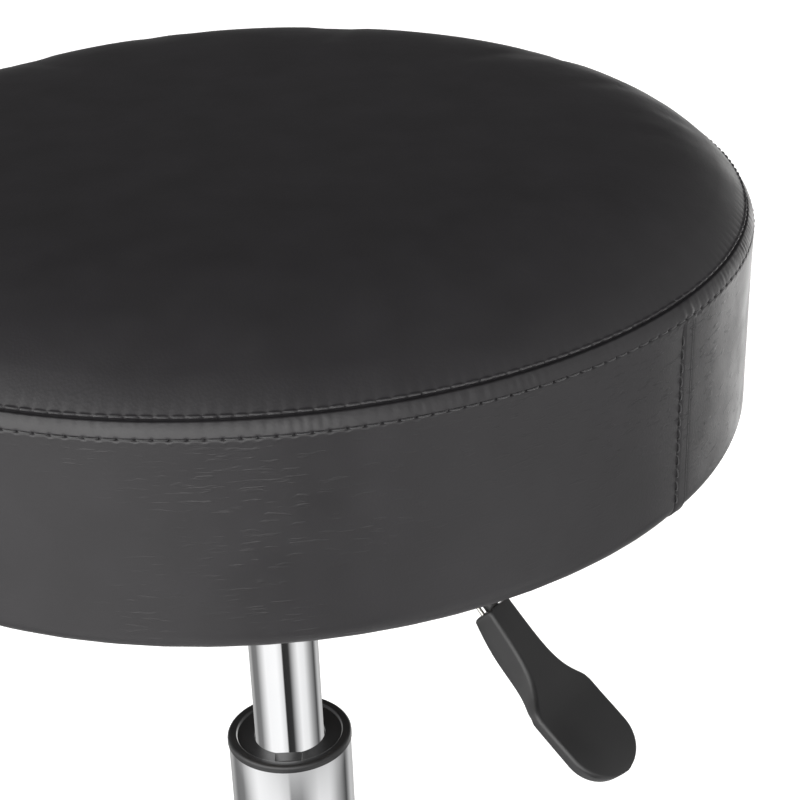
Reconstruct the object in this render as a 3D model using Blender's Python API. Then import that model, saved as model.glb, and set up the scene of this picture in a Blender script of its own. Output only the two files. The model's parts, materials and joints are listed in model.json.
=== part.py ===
"""Round rolling stool: a stitched seat on a gas lift, over a five-arm base with twin-wheel casters.

Metres, +Z up. The origin is on the floor, on the column's axis. Seat pieces are children of an
empty on that axis at the top seam's height, turned so that its +X points along the lever.
"""

import math

import bmesh
import bpy
from mathutils import Matrix, Vector

# Clearances
CUT_EXTRA = 0.001  # a hole's cutter reaches this far past the faces
GAP = 0.0003  # between pieces that lie against each other
SLIDE_GAP = 0.0004  # round pieces that slide or turn in each other

# Seat cushion
SEAM_HEIGHT = 0.551  # floor to the top seam, at rest
SEAT_RADIUS = 0.1775
SEAM_INSET = 0.0028  # the top seam lies this far inside the side
SHOULDER_DROP = 0.0054  # top seam down to the second row of stitches
CROWN = 0.026  # rise of the top panel above its seam
CROWN_POWER = 8  # flatter in the middle and steeper at the seam as it grows
SIDE_DEPTH = 0.078  # top seam down to the underside
SIDE_TAPER = 0.001
EDGE_RADIUS = 0.008  # lower edge of the side
WRAP_WIDTH = 0.022  # cover turned under the board
COVER_THICKNESS = 0.0016
BOARD_THICKNESS = 0.012
DUST_COVER_THICKNESS = 0.0008
DUST_COVER_MARGIN = 0.004  # inside the start of the lower edge

# Mounting plate, bracket and socket under the board
PLATE_SIDE = 0.140
PLATE_CORNER = 0.016
PLATE_THICKNESS = 0.003
BOLT_INSET = 0.015  # plate's edge to a bolt's middle
BOLT_RADIUS = 0.003
BOLT_LENGTH = 0.009  # into the board
BOLT_HEAD_RADIUS = 0.0055
BOLT_HEAD_HEIGHT = 0.004
BRACKET_WALL = 0.0025
BRACKET_DEPTH = 0.035  # seat's underside down to the cylinder's top
BRACKET_BACK = 0.028  # behind the column's axis
BRACKET_FRONT = 0.046  # ahead of it, towards the lever
SOCKET_WALL = 0.0050
SOCKET_LENGTH = 0.048
SOCKET_PROUD = 0.0015  # above the bracket's web, and above the cylinder's top

# Lever
LEVER_AZIMUTH = math.radians(-43.0)
PIVOT_REACH = 0.034  # column's axis to the lever's pin
PIN_RISE = 0.016  # cylinder's top up to the pin
PIN_RADIUS = 0.0025
PIN_PROUD = 0.002  # pin's end outside the bracket
ARM_WIDTH = 0.010
ARM_HEIGHT = 0.012
ARM_OVERHANG = 0.006  # past the column's axis
ARM_REACH = 0.014  # past the pin, outwards
ROD_RADIUS = 0.0027
ROD_RUN = 0.0175  # arm's end to the middle of the bend
ROD_SLOPE = math.radians(46.0)
ROD_BEND_RADIUS = 0.015
ROD_FALL = 0.054  # from the middle of the bend to the grip's neck
ROD_INSERT = 0.030  # inside the grip
WIRE_RADIUS = 0.0008
WIRE_SIDE = 0.0042  # beside the rod
WIRE_DROP = 0.0016  # below it
WIRE_INSERT = 0.012
WIRE_LENGTH = 0.037  # from the grip's neck back to its hook
WIRE_HOOK_DROP = 0.0032
WIRE_HOOK_WIDTH = 0.0065

# Grip
NECK_HALF_WIDTH = 0.0063
NECK_HEIGHT = 0.0104
NECK_BULGE = 0.0025  # deepest part of the neck beyond its end's height
NECK_LENGTH = 0.039
PADDLE_HALF_WIDTH = 0.0165
PADDLE_STRAIGHT = 0.021
PADDLE_TIP = 0.014
PADDLE_THICKNESS = 0.0055
PADDLE_LIFT = math.radians(8.0)  # paddle less steep than the neck
GRIP_EDGE = 0.0018
ROD_DEPTH_IN_NECK = 0.0043  # neck's top face to the rod's axis

# Gas lift
CYLINDER_RADIUS = 0.014
CYLINDER_WALL = 0.0012
CYLINDER_TOP_RADIUS = 0.013  # at the top of its taper
TAPER_LENGTH = 0.052
CYLINDER_IN_COLUMN = 0.1045  # collar's top down to the cylinder's end, at rest
CYLINDER_CAP = 0.010
GLAND_HEIGHT = 0.018
GLAND_RECESS = 0.001
BUTTON_RADIUS = 0.004
BUTTON_INSERT = 0.0183  # inside the cylinder
PISTON_ROD_RADIUS = 0.004
PISTON_HEIGHT = 0.011
PISTON_LIFT = 0.047  # piston's underside above the gland, at rest

# Column
COLUMN_RADIUS = 0.025
COLUMN_WALL = 0.0015
COLUMN_RISE = 0.007  # hub's underside up to the tube's end
COLUMN_FLOOR = 0.003
COLLAR_TOP = 0.3195
COLLAR_RIM = 0.003  # collar showing above the tube
COLLAR_LIP = 0.0004  # collar proud of the tube
COLLAR_RIM_WIDTH = 0.0035
COLLAR_DISH = 0.0014
COLLAR_SKIRT = 0.003
COLLAR_EDGE = 0.001
SLEEVE_LENGTH = 0.076
RACE_THICKNESS = 0.0015
CAGE_THICKNESS = 0.003
RACE_RADIUS = 0.013
RACE_BORE = 0.0060
BUMP_HEIGHT = 0.010
BUMP_RADIUS = 0.011
CLIP_RADIUS = 0.009
CLIP_THICKNESS = 0.0015

# Base
HUB_WALL = 0.0087
HUB_RISE = 0.007  # underside of an arm's end up to the hub's underside
HUB_HEIGHT = 0.047
HUB_CHAMFER = 0.003
ARM_COUNT = 5
FIRST_ARM = math.radians(94.0)
BASE_RADIUS = 0.262  # column's axis to a caster's stem
ARM_INTO_HUB = 0.008  # cut back to the hub's face
ARM_ROOT_HALF_WIDTH = 0.0150
ARM_END_HALF_WIDTH = 0.0115
ARM_ROOT_RISE = 0.004  # hub's underside up to the arm's
ARM_ROOT_HEIGHT = 0.037
ARM_END_HEIGHT = 0.024
ARM_BOSS_RADIUS = 0.0135
BOSS_CHAMFER = 0.003

# Casters
WHEEL_RADIUS = 0.025
WHEEL_WIDTH = 0.011
WHEEL_EDGE = 0.002
WHEEL_RIM = 0.006
WHEEL_DISH = 0.002
AXLE_RADIUS = 0.003
AXLE_SHORT = 0.003  # axle's end inside the wheel's face
TRAIL = 0.020  # stem's axis to the axle
TRAIL_DIRECTION = math.radians(-75.0)
WEB_HALF_WIDTH = 0.008
FENDER_GAP = 0.0015
FENDER_THICKNESS = 0.0020
FENDER_REAR = math.radians(10.0)
FENDER_FRONT = math.radians(150.0)
FENDER_PROUD = 0.0003
HEAD_RISE = 0.0065  # fender's top up to the base arm's underside
FLANGE_THICKNESS = 0.0035
FLANGE_RADIUS = 0.0085
STEM_RADIUS = 0.0055
STEM_INSERT = 0.021
PIVOT_RADIUS = 0.004
PIVOT_DEPTH = 0.020
HEAD_HALF_LENGTH = 0.009
HEAD_CHAMFER = 0.002

# Sides of the round pieces
SEAT_SIDES = 40
COLUMN_SIDES = 28
BAR_SIDES = 20
WHEEL_SIDES = 18
PIN_SIDES = 12

SEAM_RADIUS = SEAT_RADIUS - SEAM_INSET
BOLT_SPACING = PLATE_SIDE - 2 * BOLT_INSET
CYLINDER_TOP_DROP = SIDE_DEPTH + BRACKET_DEPTH  # top seam down to the cylinder's top
CYLINDER_LENGTH = SEAM_HEIGHT - CYLINDER_TOP_DROP - COLLAR_TOP + CYLINDER_IN_COLUMN
LEVER_DROP = CYLINDER_TOP_DROP - PIN_RISE  # top seam down to the lever's pin
BOARD_BOTTOM = -SIDE_DEPTH + COVER_THICKNESS + GAP
PLATE_TOP = BOARD_BOTTOM - GAP
PLATE_BOTTOM = PLATE_TOP - PLATE_THICKNESS
COLUMN_BORE = COLUMN_RADIUS - COLUMN_WALL
GUIDE_BORE = CYLINDER_RADIUS + SLIDE_GAP
ROD_BORE = PISTON_ROD_RADIUS + SLIDE_GAP
SOCKET_RADIUS = CYLINDER_RADIUS + GAP + SOCKET_WALL
FENDER_RADIUS = WHEEL_RADIUS + FENDER_GAP + FENDER_THICKNESS
CASTER_TOP = WHEEL_RADIUS + FENDER_RADIUS + HEAD_RISE  # floor to the base arm's underside
HUB_RADIUS = COLUMN_RADIUS + GAP + HUB_WALL
HUB_BOTTOM = CASTER_TOP + HUB_RISE
HUB_TOP = HUB_BOTTOM + HUB_HEIGHT
COLUMN_BOTTOM = HUB_BOTTOM + COLUMN_RISE
ARM_ROOT_BOTTOM = HUB_BOTTOM + ARM_ROOT_RISE


def clear_scene():
    for item in list(bpy.data.objects):
        bpy.data.objects.remove(item, do_unlink=True)


def material(name, colour, roughness, metallic=0.0):
    made = bpy.data.materials.new(name)
    made.use_nodes = True
    shader = made.node_tree.nodes["Principled BSDF"]
    shader.inputs["Base Color"].default_value = (*colour, 1.0)
    shader.inputs["Roughness"].default_value = roughness
    shader.inputs["Metallic"].default_value = metallic
    return made


def empty(name, parent=None, at=(0, 0, 0), turn=0.0):
    made = bpy.data.objects.new(name, None)
    bpy.context.scene.collection.objects.link(made)
    made.parent = parent
    made.location = at
    made.rotation_euler = (0, 0, turn)
    return made


def piece(name, mesh, look, parent=None, at=(0, 0, 0), turn=0.0):
    """One object of the stool, from a mesh that copies may share."""
    if not mesh.materials:
        mesh.materials.append(look)
        mesh.shade_smooth()
        mesh.set_sharp_from_angle(angle=math.radians(35))
    made = bpy.data.objects.new(name, mesh)
    bpy.context.scene.collection.objects.link(made)
    made.parent = parent
    made.location = at
    made.rotation_euler = (0, 0, turn)
    return made


def finished(name, bm):
    """Close the bmesh into a mesh whose faces point outwards."""
    bmesh.ops.remove_doubles(bm, verts=bm.verts, dist=1e-6)
    bmesh.ops.recalc_face_normals(bm, faces=bm.faces)
    mesh = bpy.data.meshes.new(name)
    bm.to_mesh(mesh)
    bm.free()
    return mesh


def turned(name, profile, sides, lying=False):
    """A turned solid from (radius, height) points; lying turns its axis from Z to Y."""
    bm = bmesh.new()
    points = [bm.verts.new((radius, 0, height)) for radius, height in profile]
    edges = [bm.edges.new(pair) for pair in zip(points, points[1:])]
    if profile[0][0] > 0:
        edges.append(bm.edges.new((points[-1], points[0])))
    bmesh.ops.spin(
        bm, geom=points + edges, cent=(0, 0, 0), axis=(0, 0, 1), angle=math.tau, steps=sides
    )
    if lying:
        turn = Matrix.Rotation(math.radians(-90), 3, "X")
        bmesh.ops.rotate(bm, verts=bm.verts, cent=(0, 0, 0), matrix=turn)
    return finished(name, bm)


def ring(name, inner, outer, bottom, top, sides=BAR_SIDES):
    corners = [(outer, top), (outer, bottom), (inner, bottom), (inner, top)]
    return turned(name, corners, sides)


def disc(name, radius, bottom, top, sides=BAR_SIDES):
    return turned(name, [(0, top), (radius, top), (radius, bottom), (0, bottom)], sides)


def lofted(name, sections):
    """A solid through closed sections with equal numbers of points, capped at both ends."""
    bm = bmesh.new()
    rows = [[bm.verts.new(point) for point in section] for section in sections]
    bm.faces.new(rows[0])
    bm.faces.new(rows[-1])
    for near, far in zip(rows, rows[1:]):
        for i in range(len(near)):
            j = (i + 1) % len(near)
            bm.faces.new((near[i], near[j], far[j], far[i]))
    return finished(name, bm)


def slab(name, outline, low, high, up="Z"):
    """An outline given width: (x, y) between two heights, or (x, z) between two y."""
    if up == "Z":
        return lofted(name, [[(x, y, level) for x, y in outline] for level in (low, high)])
    return lofted(name, [[(x, level, z) for x, z in outline] for level in (low, high)])


def arc(centre, radius, start, end, steps):
    angles = [start + (end - start) * i / steps for i in range(steps + 1)]
    return [(centre[0] + radius * math.cos(a), centre[1] + radius * math.sin(a)) for a in angles]


def rounded_box(half_x, half_y, corner, steps=3):
    points = []
    for quarter, (sx, sy) in enumerate(((1, 1), (-1, 1), (-1, -1), (1, -1))):
        centre = (sx * (half_x - corner), sy * (half_y - corner))
        start = quarter * math.pi / 2
        points += arc(centre, corner, start, start + math.pi / 2, steps)
    return points


def combined(mesh, other, operation, at=(0, 0, 0), rotation=None):
    """The first mesh after a Boolean with the second, which is placed first."""
    base = bpy.data.objects.new("base", mesh)
    tool = bpy.data.objects.new("tool", other)
    for item in (base, tool):
        bpy.context.scene.collection.objects.link(item)
    tool.matrix_world = Matrix.Translation(at) @ (rotation or Matrix()).to_4x4()
    cut = base.modifiers.new("cut", "BOOLEAN")
    cut.operation = operation
    cut.object = tool
    bpy.context.view_layer.update()
    evaluated = base.evaluated_get(bpy.context.evaluated_depsgraph_get())
    result = bpy.data.meshes.new_from_object(evaluated)
    result.name = mesh.name
    for item in (base, tool):
        bpy.data.objects.remove(item)
    return result


def drilled(mesh, radius, low, high, at=(0, 0), sides=PIN_SIDES):
    """The mesh with an upright hole between two heights."""
    drill = disc("drill", radius, low, high, sides)
    return combined(mesh, drill, "DIFFERENCE", (*at, 0))


def tube(name, path, radius, look, parent, resolution=2):
    """A round bar along a path."""
    curve = bpy.data.curves.new(name, "CURVE")
    curve.dimensions = "3D"
    curve.bevel_depth = radius
    curve.bevel_resolution = resolution
    curve.use_fill_caps = True
    spline = curve.splines.new("POLY")
    spline.points.add(len(path) - 1)
    for point, place in zip(spline.points, path):
        point.co = (*place, 1.0)
    curve.materials.append(look)
    made = bpy.data.objects.new(name, curve)
    bpy.context.scene.collection.objects.link(made)
    made.parent = parent
    return made


# Seat cushion


def crown(rise, radius, steps):
    """The top panel's curve from its middle to the seam, as (radius, height) points."""
    points = []
    for i in range(steps + 1):
        share = math.sin(math.pi / 2 * i / steps)
        points.append((radius * share, rise * (1 - share**CROWN_POWER)))
    return points


def offset(points, distance):
    """A polyline moved to its right by a distance."""
    moved = []
    last = len(points) - 1
    for i, (x, y) in enumerate(points):
        before, after = points[max(i - 1, 0)], points[min(i + 1, last)]
        run = Vector(after) - Vector(before)
        run.normalize()
        moved.append((x + run.y * distance, y - run.x * distance))
    return moved


def side_profile():
    """The side band's outer face, from the top seam down, round and under the board."""
    low_radius = SEAT_RADIUS - SIDE_TAPER
    mid_shoulder = (SEAM_RADIUS + 0.6 * SEAM_INSET, -0.35 * SHOULDER_DROP)
    points = [(SEAM_RADIUS, -GAP / 2), mid_shoulder, (SEAT_RADIUS, -SHOULDER_DROP)]
    centre = (low_radius - EDGE_RADIUS, -SIDE_DEPTH + EDGE_RADIUS)
    points += arc(centre, EDGE_RADIUS, 0, -math.pi / 2, 4)
    points.append((centre[0] - WRAP_WIDTH, -SIDE_DEPTH))
    return points


def seat_cushion(seat, leather, foam, wood, cloth):
    inner_rise = CROWN - COVER_THICKNESS
    inner_radius = SEAM_RADIUS - 1.3 * COVER_THICKNESS
    top = [(r, z + GAP / 2) for r, z in crown(CROWN, SEAM_RADIUS, 8)]
    under = [(r, z + GAP / 2) for r, z in crown(inner_rise, inner_radius, 6)]
    piece("seat_top_panel", turned("top_panel", top + under[::-1], SEAT_SIDES), leather, seat)

    outer = side_profile()
    band = outer + offset(outer, COVER_THICKNESS)[::-1]
    piece("seat_side_band", turned("side_band", band, SEAT_SIDES), leather, seat)

    foam_top = crown(inner_rise - GAP, inner_radius - 2 * GAP, 6)
    foam_side = SEAT_RADIUS - SIDE_TAPER - COVER_THICKNESS - 2 * GAP
    foam_bottom = BOARD_BOTTOM + BOARD_THICKNESS + GAP
    block = foam_top + [
        (foam_side, -SHOULDER_DROP - COVER_THICKNESS),
        (foam_side, foam_bottom),
        (0, foam_bottom),
    ]
    piece("seat_foam", turned("foam", block, SEAT_SIDES), foam, seat)

    board_radius = SEAT_RADIUS - SIDE_TAPER - EDGE_RADIUS
    board_top = BOARD_BOTTOM + BOARD_THICKNESS
    board = disc("board", board_radius, BOARD_BOTTOM, board_top, SEAT_SIDES)
    for x, y in bolt_places():
        low, high = BOARD_BOTTOM - CUT_EXTRA, board_top + CUT_EXTRA
        board = drilled(board, BOLT_RADIUS + GAP, low, high, (x, y))
    piece("seat_board", board, wood, seat)

    cloth_top = -SIDE_DEPTH - GAP
    cut_out = PLATE_SIDE / 2 * math.sqrt(2)
    cloth_ring = ring(
        "dust_cloth",
        cut_out,
        board_radius - DUST_COVER_MARGIN,
        cloth_top - DUST_COVER_THICKNESS,
        cloth_top,
        SEAT_SIDES,
    )
    piece("dust_cover", cloth_ring, cloth, seat)


# Mounting plate, bracket, socket and lever


def bolt_places():
    half = BOLT_SPACING / 2
    return [(half, half), (-half, half), (-half, -half), (half, -half)]


def bracket_half_width():
    """Inner half width of the bracket, round the socket."""
    return SOCKET_RADIUS + 2 * GAP


def seat_mount(seat, black_steel, steel):
    half = PLATE_SIDE / 2
    outline = rounded_box(half, half, PLATE_CORNER)
    plate = slab("plate", outline, PLATE_BOTTOM, PLATE_TOP)
    for place in bolt_places():
        low, high = PLATE_BOTTOM - CUT_EXTRA, PLATE_TOP + CUT_EXTRA
        plate = drilled(plate, BOLT_RADIUS + GAP, low, high, place)
    piece("mounting_plate", plate, black_steel, seat)

    head_top = PLATE_BOTTOM - GAP
    bolt = turned(
        "bolt",
        [
            (0, BOARD_BOTTOM + BOLT_LENGTH),
            (BOLT_RADIUS, BOARD_BOTTOM + BOLT_LENGTH),
            (BOLT_RADIUS, head_top),
            (BOLT_HEAD_RADIUS, head_top),
            (BOLT_HEAD_RADIUS, head_top - 0.6 * BOLT_HEAD_HEIGHT),
            (0.6 * BOLT_HEAD_RADIUS, head_top - BOLT_HEAD_HEIGHT),
            (0, head_top - BOLT_HEAD_HEIGHT),
        ],
        PIN_SIDES,
    )
    for number, (x, y) in enumerate(bolt_places(), 1):
        piece(f"mount_bolt_{number}", bolt, steel, seat, (x, y, 0))

    socket_top = -CYLINDER_TOP_DROP + SOCKET_PROUD
    web_top = socket_top - SOCKET_PROUD
    inner = bracket_half_width()
    outer = inner + BRACKET_WALL
    wall_top = PLATE_BOTTOM - GAP
    channel = [
        (-outer, wall_top),
        (-outer, web_top - BRACKET_WALL),
        (outer, web_top - BRACKET_WALL),
        (outer, wall_top),
        (inner, wall_top),
        (inner, web_top),
        (-inner, web_top),
        (-inner, wall_top),
    ]
    ends = [[(x, y, z) for y, z in channel] for x in (-BRACKET_BACK, BRACKET_FRONT)]
    bracket = lofted("bracket", ends)
    web_low = web_top - BRACKET_WALL - CUT_EXTRA
    bracket = drilled(bracket, SOCKET_RADIUS + GAP, web_low, web_top + CUT_EXTRA, sides=BAR_SIDES)
    pin_hole = lying_bar("pin_hole", PIN_RADIUS + GAP, outer + CUT_EXTRA)
    pin_place = (PIVOT_REACH, 0, -LEVER_DROP)
    bracket = combined(bracket, pin_hole, "DIFFERENCE", pin_place)
    piece("lift_bracket", bracket, black_steel, seat)
    pin = lying_bar("pin", PIN_RADIUS, outer + PIN_PROUD)
    piece("lever_pivot_pin", pin, steel, seat, pin_place)

    socket_bottom = socket_top - SOCKET_LENGTH
    socket = turned(
        "socket",
        [
            (SOCKET_RADIUS, socket_top),
            (SOCKET_RADIUS, socket_bottom),
            (taper_radius(socket_bottom) + GAP, socket_bottom),
            (taper_radius(-CYLINDER_TOP_DROP) + GAP, socket_top),
        ],
        BAR_SIDES,
    )
    piece("taper_socket", socket, black_steel, seat)


def taper_radius(height):
    """Radius of the cylinder's tapered head at a height below the seam."""
    down = -CYLINDER_TOP_DROP - height
    return CYLINDER_TOP_RADIUS + (CYLINDER_RADIUS - CYLINDER_TOP_RADIUS) * down / TAPER_LENGTH


def lying_bar(name, radius, half_length):
    points = [(0, half_length), (radius, half_length), (radius, -half_length), (0, -half_length)]
    return turned(name, points, PIN_SIDES, lying=True)


def bent_path(start, run, length, steps=6):
    """A level run, a bend down and a straight fall, as places relative to the lever's pin."""
    start, run = Vector(start), Vector((run, 0, 0))
    down = Vector((math.cos(ROD_SLOPE), 0, -math.sin(ROD_SLOPE)))
    tangent = ROD_BEND_RADIUS * math.tan(ROD_SLOPE / 2)
    corner = start + run
    centre = corner - Vector((tangent, 0, ROD_BEND_RADIUS))
    path = [start]
    for i in range(steps + 1):
        angle = ROD_SLOPE * i / steps
        path.append(centre + ROD_BEND_RADIUS * Vector((math.sin(angle), 0, math.cos(angle))))
    path.append(corner + down * length)
    return path


def grip_sections():
    """Sections of the grip from its neck to its tip, in axes along, across and up from the neck."""
    sections = []
    x, z = 0.0, 0.0
    previous = 0.0
    for along, half_width, height in grip_stations():
        slope = PADDLE_LIFT if along > NECK_LENGTH else 0.0
        x += (along - previous) * math.cos(slope)
        z += (along - previous) * math.sin(slope)
        previous = along
        edge = min(GRIP_EDGE, 0.45 * half_width, 0.45 * height)
        outline = rounded_box(half_width, height / 2, edge, 2)
        sections.append([(x, y, z + up - height / 2) for y, up in outline])
    return sections


def grip_stations():
    """Distance along the grip, half width and height."""
    stations = []
    widening = PADDLE_HALF_WIDTH - NECK_HALF_WIDTH
    for i in range(8):
        share = i / 7
        half_width = NECK_HALF_WIDTH + widening * (0.16 * share + 0.84 * share**5)
        swell = NECK_BULGE * math.sin(math.pi * share)
        height = NECK_HEIGHT + (PADDLE_THICKNESS - NECK_HEIGHT) * share**2.5 + swell
        stations.append((NECK_LENGTH * share, half_width, height))
    straight_end = NECK_LENGTH + PADDLE_STRAIGHT
    for degrees in (0, 25, 45, 62, 76, 86):
        angle = math.radians(degrees)
        along = straight_end + PADDLE_TIP * math.sin(angle)
        stations.append((along, PADDLE_HALF_WIDTH * math.cos(angle), PADDLE_THICKNESS))
    return stations


def lever(pivot, black_steel, steel, plastic):
    """The rocking arm, its bent rod, the wire beside it and the grip, about the lever's pin."""
    half_height = ARM_HEIGHT / 2
    arm = slab(
        "arm",
        [
            (-PIVOT_REACH - ARM_OVERHANG, -half_height),
            (ARM_REACH, -half_height),
            (ARM_REACH, half_height),
            (-PIVOT_REACH - ARM_OVERHANG, half_height),
        ],
        -ARM_WIDTH / 2,
        ARM_WIDTH / 2,
        up="Y",
    )
    hole = lying_bar("hole", PIN_RADIUS + SLIDE_GAP, ARM_WIDTH)
    piece("lever_arm", combined(arm, hole, "DIFFERENCE"), black_steel, pivot)

    rod_path = bent_path((ARM_REACH + GAP, 0, 0), ROD_RUN, ROD_FALL + ROD_INSERT)
    tube("lever_rod", rod_path, ROD_RADIUS, black_steel, pivot)

    down = Vector((math.cos(ROD_SLOPE), 0, -math.sin(ROD_SLOPE)))
    above = Vector((math.sin(ROD_SLOPE), 0, math.cos(ROD_SLOPE)))
    neck = Vector((ARM_REACH + GAP + ROD_RUN, 0, 0)) + down * ROD_FALL
    wire_line = neck - above * WIRE_DROP - Vector((0, WIRE_SIDE, 0))
    hook = wire_line - down * WIRE_LENGTH - above * WIRE_HOOK_DROP
    wire = [
        hook + Vector((0, WIRE_HOOK_WIDTH, 0)),
        hook,
        wire_line - down * (WIRE_LENGTH - WIRE_HOOK_DROP),
        wire_line + down * WIRE_INSERT,
    ]
    tube("lever_wire", wire, WIRE_RADIUS, steel, pivot, resolution=1)

    frame = Matrix((down, Vector((0, 1, 0)), above)).transposed()
    place = neck + above * ROD_DEPTH_IN_NECK
    sections = [[place + frame @ Vector(p) for p in row] for row in grip_sections()]
    grip = lofted("grip", sections)
    tilt = frame @ Matrix.Rotation(math.radians(90), 3, "Y")
    bore = disc("bore", ROD_RADIUS + GAP, -CUT_EXTRA, ROD_INSERT + GAP, PIN_SIDES)
    grip = combined(grip, bore, "DIFFERENCE", neck, tilt)
    wire_bore = disc("wire_bore", WIRE_RADIUS + GAP, -CUT_EXTRA, WIRE_INSERT + GAP, PIN_SIDES)
    grip = combined(grip, wire_bore, "DIFFERENCE", wire_line, tilt)
    piece("lever_grip", grip, plastic, pivot)


# Gas lift and column


def gas_lift(seat, spindle, chrome, steel, plastic):
    bottom = -CYLINDER_TOP_DROP - CYLINDER_LENGTH
    inner = CYLINDER_RADIUS - CYLINDER_WALL
    cap_bottom = -CYLINDER_TOP_DROP - CYLINDER_CAP
    shell = [
        (CYLINDER_TOP_RADIUS, -CYLINDER_TOP_DROP),
        (CYLINDER_RADIUS, -CYLINDER_TOP_DROP - TAPER_LENGTH),
        (CYLINDER_RADIUS, bottom),
        (inner, bottom),
        (inner, -CYLINDER_TOP_DROP - TAPER_LENGTH),
        (taper_radius(cap_bottom) - CYLINDER_WALL, cap_bottom),
        (BUTTON_RADIUS + SLIDE_GAP, cap_bottom),
        (BUTTON_RADIUS + SLIDE_GAP, -CYLINDER_TOP_DROP),
    ]
    piece("gas_cylinder", turned("cylinder", shell, BAR_SIDES), chrome, seat)
    gland_bottom = bottom + GLAND_RECESS
    gland_top = gland_bottom + GLAND_HEIGHT
    gland = ring("gland", ROD_BORE, inner - GAP, gland_bottom, gland_top)
    piece("cylinder_gland", gland, plastic, seat)

    piston_bottom = SEAM_HEIGHT + gland_top + PISTON_LIFT
    race_bottom = COLUMN_BOTTOM + COLUMN_FLOOR + RACE_THICKNESS + CAGE_THICKNESS + 3 * GAP
    clip_top = COLUMN_BOTTOM - GAP
    rod = [
        (0, piston_bottom + PISTON_HEIGHT),
        (inner - SLIDE_GAP, piston_bottom + PISTON_HEIGHT),
        (inner - SLIDE_GAP, piston_bottom),
        (PISTON_ROD_RADIUS, piston_bottom),
        (PISTON_ROD_RADIUS, clip_top - 2 * CLIP_THICKNESS),
        (0, clip_top - 2 * CLIP_THICKNESS),
    ]
    piece("piston_rod", turned("rod", rod, BAR_SIDES), chrome, spindle)
    rod_hole = PISTON_ROD_RADIUS + GAP
    race_top = race_bottom + RACE_THICKNESS
    upper_race = ring("upper_race", rod_hole, RACE_RADIUS, race_bottom, race_top)
    piece("bearing_race_upper", upper_race, steel, spindle)
    bump = ring("bump", rod_hole, BUMP_RADIUS, race_top + GAP, race_top + GAP + BUMP_HEIGHT)
    piece("bump_stop", bump, plastic, spindle)
    clip = ring("clip", rod_hole, CLIP_RADIUS, clip_top - CLIP_THICKNESS, clip_top)
    piece("rod_clip", clip, steel, spindle)


def column(chrome, steel, plastic):
    tube_top = COLLAR_TOP - COLLAR_RIM
    floor_top = COLUMN_BOTTOM + COLUMN_FLOOR
    shell = [
        (COLUMN_RADIUS, tube_top - GAP),
        (COLUMN_RADIUS, COLUMN_BOTTOM),
        (RACE_BORE, COLUMN_BOTTOM),
        (RACE_BORE, floor_top),
        (COLUMN_BORE, floor_top),
        (COLUMN_BORE, tube_top - GAP),
    ]
    piece("column_tube", turned("column", shell, COLUMN_SIDES), chrome)
    race_top = floor_top + GAP + RACE_THICKNESS
    race = ring("lower_race", RACE_BORE, RACE_RADIUS, floor_top + GAP, race_top)
    piece("bearing_race_lower", race, steel)
    cage = ring("cage", RACE_BORE, RACE_RADIUS, race_top + GAP, race_top + GAP + CAGE_THICKNESS)
    piece("bearing_cage", cage, steel)

    rim_outer = COLUMN_RADIUS + COLLAR_LIP
    rim_inner = rim_outer - COLLAR_RIM_WIDTH
    skirt_bottom = tube_top - COLLAR_SKIRT
    collar = [
        (rim_inner, COLLAR_TOP),
        (rim_outer - COLLAR_EDGE, COLLAR_TOP),
        (rim_outer, COLLAR_TOP - COLLAR_EDGE),
        (rim_outer, tube_top),
        (COLUMN_BORE - GAP, tube_top),
        (COLUMN_BORE - GAP, skirt_bottom),
        (GUIDE_BORE, skirt_bottom),
        (GUIDE_BORE, COLLAR_TOP - COLLAR_DISH),
        (rim_inner - COLLAR_EDGE, COLLAR_TOP - COLLAR_DISH),
    ]
    piece("column_collar", turned("collar", collar, COLUMN_SIDES), plastic)
    sleeve_top = skirt_bottom - GAP
    sleeve = ring("sleeve", GUIDE_BORE, COLUMN_BORE - GAP, sleeve_top - SLEEVE_LENGTH, sleeve_top)
    piece("guide_sleeve", sleeve, plastic)


# Base and casters


def arm_mesh():
    """One base arm along +X, from the hub to the boss over its caster's stem."""
    root = HUB_RADIUS - ARM_INTO_HUB
    bottom_end = CASTER_TOP + GAP
    sections = []
    for share in (0, 0.35, 0.7, 1):
        x = root + (BASE_RADIUS - root) * share
        half = ARM_ROOT_HALF_WIDTH + (ARM_END_HALF_WIDTH - ARM_ROOT_HALF_WIDTH) * share
        fall = share**1.4
        bottom = ARM_ROOT_BOTTOM + (bottom_end - ARM_ROOT_BOTTOM) * fall
        height = ARM_ROOT_HEIGHT + (ARM_END_HEIGHT - ARM_ROOT_HEIGHT) * share
        shoulder = bottom + 0.45 * height
        arch = arc((0, 0), 1.0, 0, math.pi, 5)
        outline = [(half, bottom)]
        outline += [(half * c, shoulder + (height - 0.45 * height) * s) for c, s in arch]
        outline.append((-half, bottom))
        sections.append([(x, y, z) for y, z in outline])
    arm = lofted("base_arm", sections)
    boss_top = bottom_end + ARM_END_HEIGHT + GAP
    boss = turned(
        "boss",
        [
            (0, boss_top),
            (ARM_BOSS_RADIUS - BOSS_CHAMFER, boss_top),
            (ARM_BOSS_RADIUS, boss_top - BOSS_CHAMFER),
            (ARM_BOSS_RADIUS, bottom_end),
            (0, bottom_end),
        ],
        WHEEL_SIDES,
    )
    arm = combined(arm, boss, "UNION", (BASE_RADIUS, 0, 0))
    hub_space = disc("hub_space", HUB_RADIUS + GAP, 0, 2 * HUB_TOP, COLUMN_SIDES)
    arm = combined(arm, hub_space, "DIFFERENCE")
    stem_top = CASTER_TOP + STEM_INSERT + GAP
    return drilled(arm, STEM_RADIUS + GAP, CASTER_TOP - CUT_EXTRA, stem_top, (BASE_RADIUS, 0))


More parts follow.
